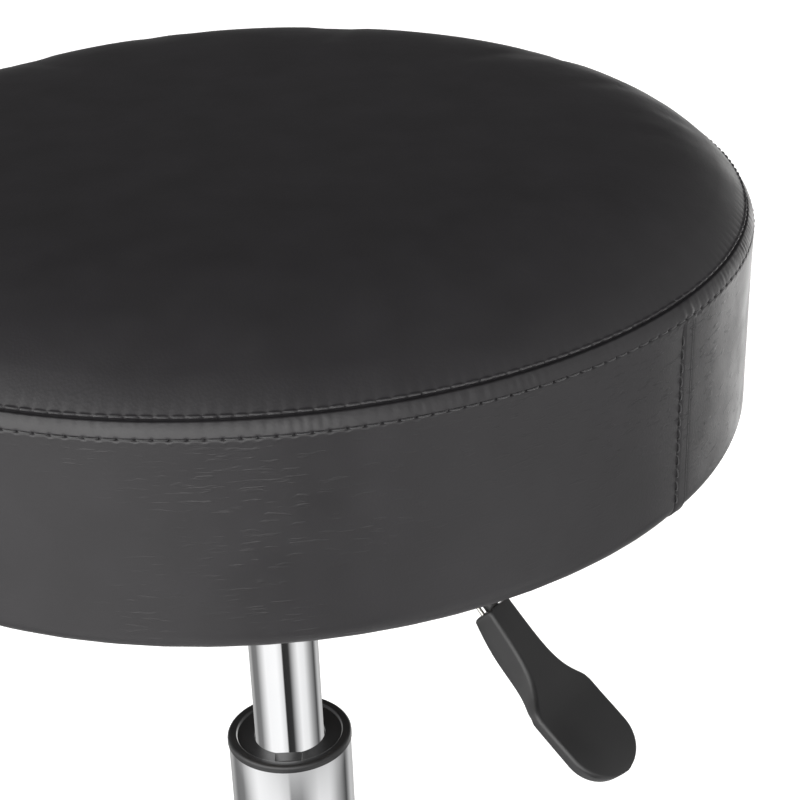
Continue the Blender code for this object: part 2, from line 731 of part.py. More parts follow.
def base(chrome):
    bore = COLUMN_RADIUS + GAP
    hub = [
        (HUB_RADIUS - HUB_CHAMFER, HUB_TOP),
        (HUB_RADIUS, HUB_TOP - HUB_CHAMFER),
        (HUB_RADIUS, HUB_BOTTOM),
        (bore, HUB_BOTTOM),
        (bore, HUB_TOP),
    ]
    piece("base_hub", turned("hub", hub, COLUMN_SIDES), chrome)
    arm = arm_mesh()
    for number in range(1, ARM_COUNT + 1):
        piece(f"base_arm_{number}", arm, chrome, turn=arm_direction(number))


def arm_direction(number):
    return FIRST_ARM + math.tau * (number - 1) / ARM_COUNT


def caster_body_mesh():
    """Centre web with its pivot head, and the fender over both wheels; +X points to the axle."""
    axle = (TRAIL, WHEEL_RADIUS)
    inner = WHEEL_RADIUS + FENDER_GAP
    outer = FENDER_RADIUS
    half_width = WEB_HALF_WIDTH + GAP + WHEEL_WIDTH + FENDER_PROUD
    arch = arc(axle, outer, FENDER_REAR, FENDER_FRONT, 8)
    arch += arc(axle, inner, FENDER_FRONT, FENDER_REAR, 8)
    body = slab("caster_body", arch, -half_width, half_width, up="Y")
    middle = (inner + outer) / 2
    head_top = CASTER_TOP - FLANGE_THICKNESS - GAP
    head_front = math.atan2(head_top - axle[1], HEAD_HALF_LENGTH - axle[0])
    web = [(-HEAD_HALF_LENGTH, head_top - HEAD_CHAMFER), (HEAD_CHAMFER - HEAD_HALF_LENGTH, head_top)]
    web += [(HEAD_HALF_LENGTH, head_top)]
    web += arc(axle, middle, head_front - 0.1, FENDER_REAR + 0.03, 5)
    web += arc(axle, WHEEL_RADIUS * 0.6, -0.4, -math.pi + 0.6, 5)
    body = combined(body, slab("web", web, -WEB_HALF_WIDTH, WEB_HALF_WIDTH, up="Y"), "UNION")
    axle_hole = lying_bar("axle_hole", AXLE_RADIUS + GAP, 2 * WEB_HALF_WIDTH)
    body = combined(body, axle_hole, "DIFFERENCE", (axle[0], 0, axle[1]))
    hole_bottom = head_top - PIVOT_DEPTH - GAP
    return drilled(body, PIVOT_RADIUS + SLIDE_GAP, hole_bottom, head_top + CUT_EXTRA)


def wheel_mesh():
    """A wheel about Y, its inner face at y = 0 and its dished outer face at its width."""
    rim = WHEEL_RADIUS - WHEEL_RIM
    profile = [
        (AXLE_RADIUS + SLIDE_GAP, 0),
        (AXLE_RADIUS + SLIDE_GAP, WHEEL_WIDTH - WHEEL_DISH),
        (rim - WHEEL_DISH, WHEEL_WIDTH - WHEEL_DISH),
        (rim, WHEEL_WIDTH),
        (WHEEL_RADIUS - WHEEL_EDGE, WHEEL_WIDTH),
        (WHEEL_RADIUS, WHEEL_WIDTH - WHEEL_EDGE),
        (WHEEL_RADIUS, WHEEL_EDGE),
        (WHEEL_RADIUS - WHEEL_EDGE, 0),
    ]
    return turned("wheel", profile, WHEEL_SIDES, lying=True)


def casters(black_plastic, dark_plastic, steel):
    head_top = CASTER_TOP - FLANGE_THICKNESS - GAP
    stem = turned(
        "stem",
        [
            (0, CASTER_TOP + STEM_INSERT),
            (STEM_RADIUS, CASTER_TOP + STEM_INSERT),
            (STEM_RADIUS, CASTER_TOP),
            (FLANGE_RADIUS, CASTER_TOP),
            (FLANGE_RADIUS, CASTER_TOP - FLANGE_THICKNESS),
            (PIVOT_RADIUS, CASTER_TOP - FLANGE_THICKNESS),
            (PIVOT_RADIUS, head_top - PIVOT_DEPTH),
            (0, head_top - PIVOT_DEPTH),
        ],
        PIN_SIDES,
    )
    body = caster_body_mesh()
    wheel_face = WEB_HALF_WIDTH + GAP
    axle = lying_bar("axle", AXLE_RADIUS, wheel_face + WHEEL_WIDTH - AXLE_SHORT)
    wheel = wheel_mesh()
    for number in range(1, ARM_COUNT + 1):
        name = f"caster_{number}"
        place = Matrix.Rotation(arm_direction(number), 3, "Z") @ Vector((BASE_RADIUS, 0, 0))
        swivel = empty(f"{name}_swivel", at=place, turn=TRAIL_DIRECTION)
        axis = empty(f"{name}_axis", swivel, (TRAIL, 0, WHEEL_RADIUS))
        piece(f"{name}_stem", stem, steel, at=place)
        piece(f"{name}_body", body, black_plastic, swivel)
        piece(f"{name}_axle", axle, steel, axis)
        piece(f"{name}_wheel_a", wheel, dark_plastic, axis, (0, wheel_face, 0))
        piece(f"{name}_wheel_b", wheel, dark_plastic, axis, (0, -wheel_face, 0), math.pi)


def build():
    clear_scene()
    leather = material("black_leather", (0.028, 0.027, 0.028), 0.42)
    foam = material("foam", (0.75, 0.68, 0.42), 0.9)
    wood = material("plywood", (0.55, 0.38, 0.22), 0.7)
    cloth = material("dust_cloth", (0.02, 0.02, 0.02), 0.95)
    chrome = material("chrome", (0.80, 0.80, 0.81), 0.08, 1.0)
    steel = material("steel", (0.45, 0.45, 0.46), 0.35, 1.0)
    black_steel = material("black_steel", (0.02, 0.02, 0.02), 0.4, 0.6)
    plastic = material("black_plastic", (0.03, 0.03, 0.031), 0.38)
    tyre = material("caster_tread", (0.02, 0.02, 0.02), 0.55)

    seat = empty("seat_frame", at=(0, 0, SEAM_HEIGHT), turn=LEVER_AZIMUTH)
    pivot = empty("lever_pivot", seat, (PIVOT_REACH, 0, -LEVER_DROP))
    spindle = empty("spindle_frame")
    seat_cushion(seat, leather, foam, wood, cloth)
    seat_mount(seat, black_steel, steel)
    lever(pivot, black_steel, steel, plastic)
    button_top = -LEVER_DROP - ARM_HEIGHT / 2 - GAP
    button_bottom = -CYLINDER_TOP_DROP - BUTTON_INSERT
    button = disc("button", BUTTON_RADIUS, button_bottom, button_top)
    piece("release_button", button, steel, seat)
    gas_lift(seat, spindle, chrome, steel, plastic)
    column(chrome, steel, plastic)
    base(chrome)
    casters(plastic, tyre, steel)


build()
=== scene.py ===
"""Looks of the rolling stool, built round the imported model.

Metres, +Z up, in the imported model's frame. Each section makes the pieces that stand for
one group of the model's nodes. Most of their sizes and places come from the frame's points,
boxes and joints. The rest are named constants.
"""

import json
import math

import bmesh
import bpy
import numpy as np
from mathutils import Matrix, Vector


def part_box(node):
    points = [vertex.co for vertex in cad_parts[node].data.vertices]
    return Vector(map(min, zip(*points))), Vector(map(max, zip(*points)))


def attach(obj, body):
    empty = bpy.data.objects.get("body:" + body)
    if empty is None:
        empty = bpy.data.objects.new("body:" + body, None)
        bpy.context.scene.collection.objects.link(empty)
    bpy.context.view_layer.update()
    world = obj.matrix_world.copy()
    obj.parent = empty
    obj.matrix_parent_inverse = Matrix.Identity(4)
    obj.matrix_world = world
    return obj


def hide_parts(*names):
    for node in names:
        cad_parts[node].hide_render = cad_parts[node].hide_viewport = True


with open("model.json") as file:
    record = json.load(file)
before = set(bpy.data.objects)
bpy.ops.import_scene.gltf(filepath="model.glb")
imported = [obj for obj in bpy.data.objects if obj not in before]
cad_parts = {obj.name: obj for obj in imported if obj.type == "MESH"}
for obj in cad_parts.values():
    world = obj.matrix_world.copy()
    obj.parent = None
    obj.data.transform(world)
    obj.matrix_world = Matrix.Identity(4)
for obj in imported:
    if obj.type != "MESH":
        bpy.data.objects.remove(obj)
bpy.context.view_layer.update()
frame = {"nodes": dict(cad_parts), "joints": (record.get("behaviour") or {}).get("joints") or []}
MM = 0.001
NEAR_AXIS = 0.01 * MM  # where a closed profile starts, just off its axis


# What the frame says


def points_of(node):
    """A node's points, in the row frame."""
    mesh = frame["nodes"][node].data
    flat = np.empty(len(mesh.vertices) * 3, np.float32)
    mesh.vertices.foreach_get("co", flat)
    return flat.reshape(-1, 3).astype(float)


def reach_of(node):
    """A node's largest distance from the column's axis."""
    return float(np.hypot(*points_of(node)[:, :2].T).max())


def heights_of(node):
    low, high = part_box(node)
    return low.z, high.z


JOINTS = {joint["name"]: joint for joint in frame["joints"]}


def joint_place(name):
    return Vector(JOINTS[name]["pos_m"])


SEAM_HEIGHT, CROWN_TOP = heights_of("seat_top_panel")
SEAM_RADIUS = reach_of("seat_top_panel")
SEAT_RADIUS = reach_of("seat_side_band")
UNDERSIDE = heights_of("seat_side_band")[0]
CROWN = CROWN_TOP - SEAM_HEIGHT
LEVER_PIN = joint_place("lever_rock")
LEVER_ACROSS = -Vector(JOINTS["lever_rock"]["axis"])
LEVER_OUT = Vector((LEVER_ACROSS.y, -LEVER_ACROSS.x, 0))
LEVER_AZIMUTH = math.atan2(LEVER_OUT.y, LEVER_OUT.x)
UP = Vector((0, 0, 1))


# Meshes


def new_mesh(name, points, faces, merge=1e-7):
    """A mesh with its faces turned outwards."""
    mesh = bpy.data.meshes.new(name)
    mesh.from_pydata([tuple(p) for p in points], [], faces)
    bm = bmesh.new()
    bm.from_mesh(mesh)
    bmesh.ops.remove_doubles(bm, verts=bm.verts, dist=merge)
    bmesh.ops.dissolve_degenerate(bm, edges=bm.edges, dist=merge)
    bmesh.ops.recalc_face_normals(bm, faces=bm.faces)
    bm.to_mesh(mesh)
    bm.free()
    return mesh


def ring_faces(rows, columns, loop=False, caps=True, start=0):
    """Faces of a skin through rings of equal length, numbered from start."""
    faces = []
    for i in range(rows if loop else rows - 1):
        near, far = start + i * columns, start + (i + 1) % rows * columns
        for j in range(columns):
            k = (j + 1) % columns
            faces.append((near + j, near + k, far + k, far + j))
    if caps and not loop:
        faces.append(tuple(range(start, start + columns)))
        faces.append(tuple(range(start + (rows - 1) * columns, start + rows * columns)))
    return faces


def skinned(name, rings, loop=False):
    rings = np.asarray(rings, float)
    rows, columns = rings.shape[:2]
    return new_mesh(name, rings.reshape(-1, 3), ring_faces(rows, columns, loop))


def gathered(name, solids):
    """One mesh of many small skins, each a stack of rings."""
    points, faces = [], []
    for rings in solids:
        rings = np.asarray(rings, float)
        rows, columns = rings.shape[:2]
        faces += ring_faces(rows, columns, start=len(points))
        points += list(rings.reshape(-1, 3))
    return new_mesh(name, points, faces)


def arc_between(start, end, centre, steps):
    """Points from start to end on the short arc about centre, in a plane."""
    a0 = math.atan2(start.y - centre.y, start.x - centre.x)
    turn = math.atan2(end.y - centre.y, end.x - centre.x) - a0
    turn = (turn + math.pi) % math.tau - math.pi
    radius = (start - centre).length
    angles = [a0 + turn * i / steps for i in range(steps + 1)]
    return [centre + radius * Vector((math.cos(a), math.sin(a))) for a in angles]


def filleted(corners, steps=5):
    """A closed outline from (x, y, fillet radius) corners."""
    points = []
    for i, (x, y, fillet) in enumerate(corners):
        corner = Vector((x, y))
        if not fillet:
            points.append(corner)
            continue
        before = Vector(corners[i - 1][:2]) - corner
        after = Vector(corners[(i + 1) % len(corners)][:2]) - corner
        half = before.angle(after) / 2
        reach = min(fillet / math.tan(half), 0.49 * before.length, 0.49 * after.length)
        before.normalize()
        after.normalize()
        centre = corner + (before + after).normalized() * reach / math.cos(half)
        points += arc_between(corner + before * reach, corner + after * reach, centre, steps)
    return points


def turned(name, corners, sides=96, steps=5):
    """A turned solid from a closed profile of (radius, height, fillet) corners."""
    profile = filleted(corners, steps)
    angles = np.arange(sides) * math.tau / sides
    rings = [[(p.x * math.cos(a), p.x * math.sin(a), p.y) for p in profile] for a in angles]
    rings = np.asarray(rings)
    faces = ring_faces(sides, len(profile), loop=True)
    return new_mesh(name, rings.reshape(-1, 3), faces)


def extruded(name, outline, low, high, edge, steps=3):
    """An (x, z) outline given a width along Y, with rounded edges, from scaled copies of itself."""
    outline = [Vector(p) for p in outline]
    count = len(outline)
    inward = []
    for i in range(count):
        run = (outline[(i + 1) % count] - outline[i - 1]).normalized()
        inward.append(Vector((-run.y, run.x)))
    area = sum(a.x * b.y - b.x * a.y for a, b in zip(outline, outline[1:] + outline[:1]))
    sense = math.copysign(1.0, area)
    turns = [math.pi / 2 * i / steps for i in range(steps + 1)]
    levels = [(edge * (1 - math.sin(t)), low + edge * (1 - math.cos(t))) for t in turns]
    levels += [(inset, low + high - y) for inset, y in levels[::-1]]
    rings = []
    for inset, y in levels:
        moved = [p + n * sense * inset for p, n in zip(outline, inward)]
        rings.append([(p.x, y, p.y) for p in moved])
    return skinned(name, rings)


def tube_rings(path, radii, sides=12):
    """Rings round a path, with no twist."""
    path = [Vector(p) for p in path]
    tangent = (path[1] - path[0]).normalized()
    side = tangent.orthogonal().normalized()
    rings = []
    for i, point in enumerate(path):
        run = (path[min(i + 1, len(path) - 1)] - path[max(i - 1, 0)]).normalized()
        side = (side - run * side.dot(run)).normalized()
        other = run.cross(side)
        angles = [math.tau * j / sides for j in range(sides)]
        radius = float(radii[i] if hasattr(radii, "__len__") else radii)
        rings.append(
            [point + radius * (math.cos(a) * side + math.sin(a) * other) for a in angles]
        )
    return rings


def combined(mesh, other, operation="DIFFERENCE"):
    """The first mesh after a Boolean with the second."""
    base = bpy.data.objects.new("base", mesh)
    tool = bpy.data.objects.new("tool", other)
    for item in (base, tool):
        bpy.context.scene.collection.objects.link(item)
    cut = base.modifiers.new("cut", "BOOLEAN")
    cut.operation = operation
    cut.object = tool
    bpy.context.view_layer.update()
    evaluated = base.evaluated_get(bpy.context.evaluated_depsgraph_get())
    result = bpy.data.meshes.new_from_object(evaluated)
    for item in (base, tool):
        bpy.data.objects.remove(item)
    return result


def applied(mesh, kind, **settings):
    """The mesh after one modifier."""
    carrier = bpy.data.objects.new("carrier", mesh)
    bpy.context.scene.collection.objects.link(carrier)
    modifier = carrier.modifiers.new(kind.lower(), kind)
    for name, value in settings.items():
        setattr(modifier, name, value)
    bpy.context.view_layer.update()
    evaluated = carrier.evaluated_get(bpy.context.evaluated_depsgraph_get())
    result = bpy.data.meshes.new_from_object(evaluated)
    bpy.data.objects.remove(carrier)
    return result


def piece(name, mesh, look, body, replaces=(), place=None, sharp=38):
    """One piece of the stool, riding on a body."""
    if not mesh.materials:
        mesh.materials.append(look)
        mesh.shade_smooth()
        mesh.set_sharp_from_angle(angle=math.radians(sharp))
    made = bpy.data.objects.new(name, mesh)
    bpy.context.scene.collection.objects.link(made)
    if place is not None:
        made.matrix_world = place
    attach(made, body)
    if replaces:
        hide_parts(*replaces)
    return made


def rounded_copy(name, node, look, body, edge=0.5 * MM):
    """A node's own solid with its edges rounded."""
    bm = bmesh.new()
    bm.from_mesh(frame["nodes"][node].data)
    bmesh.ops.remove_doubles(bm, verts=bm.verts, dist=1e-5)
    flat = math.radians(1)
    bmesh.ops.dissolve_limit(bm, angle_limit=flat, verts=bm.verts, edges=bm.edges)
    bmesh.ops.recalc_face_normals(bm, faces=bm.faces)
    mesh = bpy.data.meshes.new(name)
    bm.to_mesh(mesh)
    bm.free()
    angle = math.radians(35)
    mesh = applied(
        mesh, "BEVEL", width=edge, segments=3, limit_method="ANGLE", angle_limit=angle
    )
    return piece(name, mesh, look, body, [node])


# Materials


class Look:
    """A Principled material, built up from noise in the piece's own metres."""

    def __init__(self, name, **sockets):
        self.material = bpy.data.materials.new(name)
        self.material.use_nodes = True
        self.tree = self.material.node_tree
        self.shader = self.tree.nodes["Principled BSDF"]
        self.place = self.add("ShaderNodeTexCoord").outputs["Object"]
        for socket, value in sockets.items():
            self.shader.inputs[socket.replace("_", " ")].default_value = value

    def add(self, kind, links=None, **values):
        node = self.tree.nodes.new(kind)
        for name, value in values.items():
            if hasattr(node, name):
                setattr(node, name, value)
            else:
                node.inputs[name.replace("_", " ")].default_value = value
        for socket, source in (links or {}).items():
            self.tree.links.new(source, node.inputs[socket])
        return node

    def stretched(self, stretch):
        mapping = self.add("ShaderNodeMapping", {"Vector": self.place}, Scale=stretch)
        return mapping.outputs["Vector"]

    def noise(self, scale, detail=3.0, stretch=(1, 1, 1), roughness=0.5):
        links = {"Vector": self.stretched(stretch)}
        node = self.add(
            "ShaderNodeTexNoise", links, Scale=scale, Detail=detail, Roughness=roughness
        )
        return node.outputs["Fac"]

    def cells(self, scale, feature="F1", stretch=(1, 1, 1)):
        links = {"Vector": self.stretched(stretch)}
        node = self.add("ShaderNodeTexVoronoi", links, Scale=scale, feature=feature)
        return node.outputs["Distance"]

    def ranged(self, source, low, high, to_low, to_high):
        node = self.add("ShaderNodeMapRange", {"Value": source})
        for name, value in zip(
            ("From Min", "From Max", "To Min", "To Max"), (low, high, to_low, to_high)
        ):
            node.inputs[name].default_value = value
        return node.outputs["Result"]

    def mixed(self, source, dark, light):
        """A colour between two, by a value between 0 and 1."""
        node = self.add("ShaderNodeMix", data_type="RGBA")
        self.tree.links.new(source, node.inputs["Factor"])
        colours = [s for s in node.inputs if s.type == "RGBA"]
        colours[0].default_value = (*dark, 1)
        colours[1].default_value = (*light, 1)
        return [s for s in node.outputs if s.type == "RGBA"][0]

    def colour(self, source, dark, light):
        self.tree.links.new(self.mixed(source, dark, light), self.shader.inputs["Base Color"])
        return self

    def roughness(self, source, low, high):
        value = self.ranged(source, 0.3, 0.7, low, high)
        self.tree.links.new(value, self.shader.inputs["Roughness"])
        return self

    def bump(self, source, distance, strength=1.0):
        """Relief of about the given depth, on top of the relief so far."""
        node = self.add(
            "ShaderNodeBump", {"Height": source}, Distance=distance, Strength=strength
        )
        socket = self.shader.inputs["Normal"]
        if socket.is_linked:
            self.tree.links.new(socket.links[0].from_socket, node.inputs["Normal"])
        self.tree.links.new(node.outputs["Normal"], socket)
        return self


def leather_look():
    """Black coated leather: fine pebbles, pores, and short creases that lie level on the sides."""
    look = Look("black_leather", Specular_IOR_Level=0.5, Coat_Weight=0.06, Coat_Roughness=0.3)
    look.colour(look.noise(45, 4), (0.0105, 0.0098, 0.0108), (0.0185, 0.0172, 0.0195))
    look.roughness(look.noise(70, 4), 0.40, 0.50)
    creases = look.noise(150, 2, (1, 1, 5.5), 0.4)
    height = look.add("ShaderNodeSeparateXYZ", {"Vector": look.place}).outputs["Z"]
    on_side = look.ranged(height, SEAM_HEIGHT - 4 * MM, SEAM_HEIGHT - 9 * MM, 0, 1)
    clusters = look.ranged(look.noise(16, 2), 0.42, 0.62, 0.1, 1)
    marks = look.ranged(creases, 0.59, 0.71, 0, 1)
    for share in (on_side, clusters):
        marks = (
            look.add("ShaderNodeMath", {0: marks, 1: share}, operation="MULTIPLY").outputs[0]
        )
    look.bump(marks, 0.16 * MM, 0.9)
    look.bump(look.cells(1050), 0.05 * MM, 0.55)
    look.bump(look.noise(2600, 2), 0.02 * MM, 0.5)
    look.bump(look.noise(28, 2), 0.25 * MM, 0.5)
    return look.material


def thread_look():
    look = Look("black_thread", Specular_IOR_Level=0.5, Sheen_Weight=0.3)
    look.colour(look.noise(1500, 2), (0.012, 0.012, 0.013), (0.035, 0.034, 0.036))
    look.roughness(look.noise(900, 2), 0.38, 0.55)
    look.bump(look.noise(5200, 2), 0.05 * MM, 0.8)
    return look.material


def chrome_look():
    """Bright chrome, with the faint haze and fine lines that wiping leaves."""
    look = Look("chrome", Metallic=1.0)
    look.colour(look.noise(22, 3), (0.80, 0.81, 0.83), (0.90, 0.905, 0.92))
    look.roughness(look.noise(35, 5, (1, 1, 0.35)), 0.035, 0.085)
    look.bump(look.noise(900, 2, (1, 1, 0.05)), 0.002 * MM, 0.5)
    return look.material


def plastic_look(name, dark, light, rough, grain=0.03):
    """Moulded plastic with a spark-eroded grain and a few dull patches."""
    look = Look(name, Specular_IOR_Level=0.5)
    look.colour(look.noise(60, 4), dark, light)
    look.roughness(look.noise(120, 4), rough - 0.06, rough + 0.06)
    look.bump(look.noise(2400, 3, roughness=0.6), grain * MM, 0.8)
    look.bump(look.noise(90, 2), 0.03 * MM, 0.4)
    return look.material


def tread_look():
    """Dark caster tread, greyer where floor dust has worked in."""
    look = Look("caster_tread", Specular_IOR_Level=0.35)
    look.colour(
        look.noise(160, 5, roughness=0.65), (0.010, 0.010, 0.010), (0.045, 0.043, 0.040)
    )
    look.roughness(look.noise(200, 4), 0.5, 0.75)
    look.bump(look.noise(700, 4, roughness=0.7), 0.06 * MM, 0.8)
    return look.material


def painted_steel_look():
    """Black powder coat with its orange peel."""
    look = Look("black_steel", Specular_IOR_Level=0.5)
    look.colour(look.noise(50, 4), (0.012, 0.012, 0.012), (0.026, 0.026, 0.027))
    look.roughness(look.noise(220, 3), 0.32, 0.48)
    look.bump(look.noise(520, 2), 0.06 * MM, 0.7)
    return look.material


def steel_look():
    """Zinc-plated steel, cloudy and faintly yellow."""
    look = Look("plated_steel", Metallic=1.0)
    look.colour(look.noise(170, 4), (0.42, 0.41, 0.38), (0.62, 0.61, 0.57))
    look.roughness(look.noise(320, 4), 0.22, 0.42)
    look.bump(look.noise(1600, 3), 0.01 * MM, 0.6)
    return look.material


def plywood_look():
    look = Look("plywood", Specular_IOR_Level=0.3)
    grain = look.noise(26, 6, (1, 9, 4), 0.65)
    look.colour(look.ranged(grain, 0.3, 0.7, 0, 1), (0.36, 0.22, 0.115), (0.62, 0.44, 0.26))
    look.roughness(grain, 0.6, 0.8)
    look.bump(look.noise(160, 4, (1, 12, 6)), 0.12 * MM, 0.7)
    return look.material


def cloth_look():
    """Black spun-bonded cloth: matted fibres and a grid of pressed dots."""
    look = Look("dust_cloth", Sheen_Weight=0.4, Sheen_Roughness=0.5, Specular_IOR_Level=0.15)
    look.colour(look.noise(900, 4), (0.008, 0.008, 0.008), (0.028, 0.028, 0.028))
    look.roughness(look.noise(300, 3), 0.82, 0.95)
    look.bump(look.noise(1400, 4, (1, 0.3, 1)), 0.08 * MM, 0.8)
    look.bump(look.cells(650), 0.10 * MM, 0.6)
    return look.material


def rubber_look():
    look = Look("rubber", Specular_IOR_Level=0.3)
    look.colour(look.noise(130, 4), (0.010, 0.010, 0.010), (0.030, 0.030, 0.029))
    look.roughness(look.noise(170, 3), 0.6, 0.8)
    look.bump(look.noise(800, 3), 0.05 * MM, 0.7)
    return look.material


LEATHER = leather_look()
THREAD = thread_look()
CHROME = chrome_look()
PLASTIC = plastic_look("black_plastic", (0.010, 0.010, 0.0105), (0.020, 0.020, 0.021), 0.36)
HOOD_PLASTIC = plastic_look(
    "hood_plastic", (0.013, 0.013, 0.014), (0.026, 0.026, 0.027), 0.42, 0.05
)
TREAD = tread_look()
BLACK_STEEL = painted_steel_look()
STEEL = steel_look()
PLYWOOD = plywood_look()
CLOTH = cloth_look()
RUBBER = rubber_look()


# Cushion: outline, simulation and relief

CROWN_POWER = 8
EDGE_RADIUS = 8 * MM
WRAP_WIDTH = 22 * MM
SHOULDER_DROP = 5.4 * MM
BOTTOM_RADIUS = SEAT_RADIUS - 1 * MM  # the side leans in by this much
STRIP_BULGE = 0.35 * MM
SIM_COLUMNS = 96
SIM_SLACK = 1.6 * MM  # how far the cover starts inside its shape
SIM_CAP = 2.6 * MM
SIM_FRAMES = 20
SLACK_RUN = 18 * MM
SIM_PRESSURE = 4
MEAN_KEPT = 0.12
SPREAD_KEPT = 0.4

STITCHES_UPPER = 244
STITCHES_LOWER = 222
FINE_PER_STITCH = 8
COARSE_EVERY = 8
BAND_SEAM_AZIMUTH = LEVER_AZIMUTH + math.radians(0.4)
BAND_LAP = 5.4 * MM
BAND_STITCH = 4.7 * MM


def cushion_outline():
    """Dense (radius, height) points of the cover from the middle of the top to the wrap's inner edge,
    with the distance along it, and the distances of its two rows of stitches and of its lower edge."""
    shares = np.sin(np.linspace(0, math.pi / 2, 1500))
    top = np.stack([SEAM_RADIUS * shares, CROWN * (1 - shares**CROWN_POWER)], 1)
    t = np.linspace(0, 1, 60)[1:]
    shoulder = np.array([SEAT_RADIUS - SEAM_RADIUS, -SHOULDER_DROP])
    out = np.array([SHOULDER_DROP, SEAT_RADIUS - SEAM_RADIUS]) / np.linalg.norm(shoulder)
    bulge = STRIP_BULGE * np.sin(math.pi * t)[:, None] * out
    strip = np.array([SEAM_RADIUS, 0]) + t[:, None] * shoulder + bulge
    depth = SEAM_HEIGHT - UNDERSIDE
    t = np.linspace(0, 1, 400)[1:]
    foot = np.array([BOTTOM_RADIUS, -depth + EDGE_RADIUS])
    side = strip[-1] + t[:, None] * (foot - strip[-1])
    a = np.linspace(0, math.pi / 2, 80)[1:]
    centre = foot - (EDGE_RADIUS, 0)
    edge = centre + EDGE_RADIUS * np.stack([np.cos(a), -np.sin(a)], 1)
    wrap = edge[-1] - t[:, None] * (WRAP_WIDTH, 0)
    points = np.concatenate([top, strip, side, edge, wrap])
    steps = np.linalg.norm(np.diff(points, axis=0), axis=1)
    along = np.concatenate([[0], np.cumsum(steps)])
    marks = np.cumsum([len(top), len(strip), len(side), len(edge)]) - 1
    return points, along, along[marks]


OUTLINE, ALONG, (UPPER_ROW, LOWER_ROW, EDGE_START, EDGE_END) = cushion_outline()


def outline_at(s):
    """Radius, height and outward direction of the cover at distances along it."""
    def read(x):
        return np.stack([np.interp(x, ALONG, OUTLINE[:, k]) for k in (0, 1)], -1)

    reach = 0.6 * MM
    run = read(np.minimum(s + reach, ALONG[-1])) - read(np.maximum(s - reach, 0))
    run /= np.linalg.norm(run, axis=-1, keepdims=True)
    return read(s), np.stack([-run[..., 1], run[..., 0]], -1)


def on_cover(s, angle, lift):
    """Points of the cover, lifted off it, in the row frame."""
    place, out = outline_at(s)
    moved = place + out * np.asarray(lift)[..., None]
    x, y = moved[..., 0] * np.cos(angle), moved[..., 0] * np.sin(angle)
    return np.stack([x, y, moved[..., 1] + SEAM_HEIGHT], -1)


def smooth(x, low, high):
    t = np.clip((x - low) / (high - low), 0, 1)
    return t * t * (3 - 2 * t)


def waves(angle, orders, seed):
    """A smooth uneven value round the seat, about -1 to 1."""
    draw = np.random.default_rng(seed)
    total = sum(
        draw.normal() * np.cos(n * angle + draw.uniform(0, math.tau)) / math.sqrt(len(orders))
        for n in orders
    )
    return total


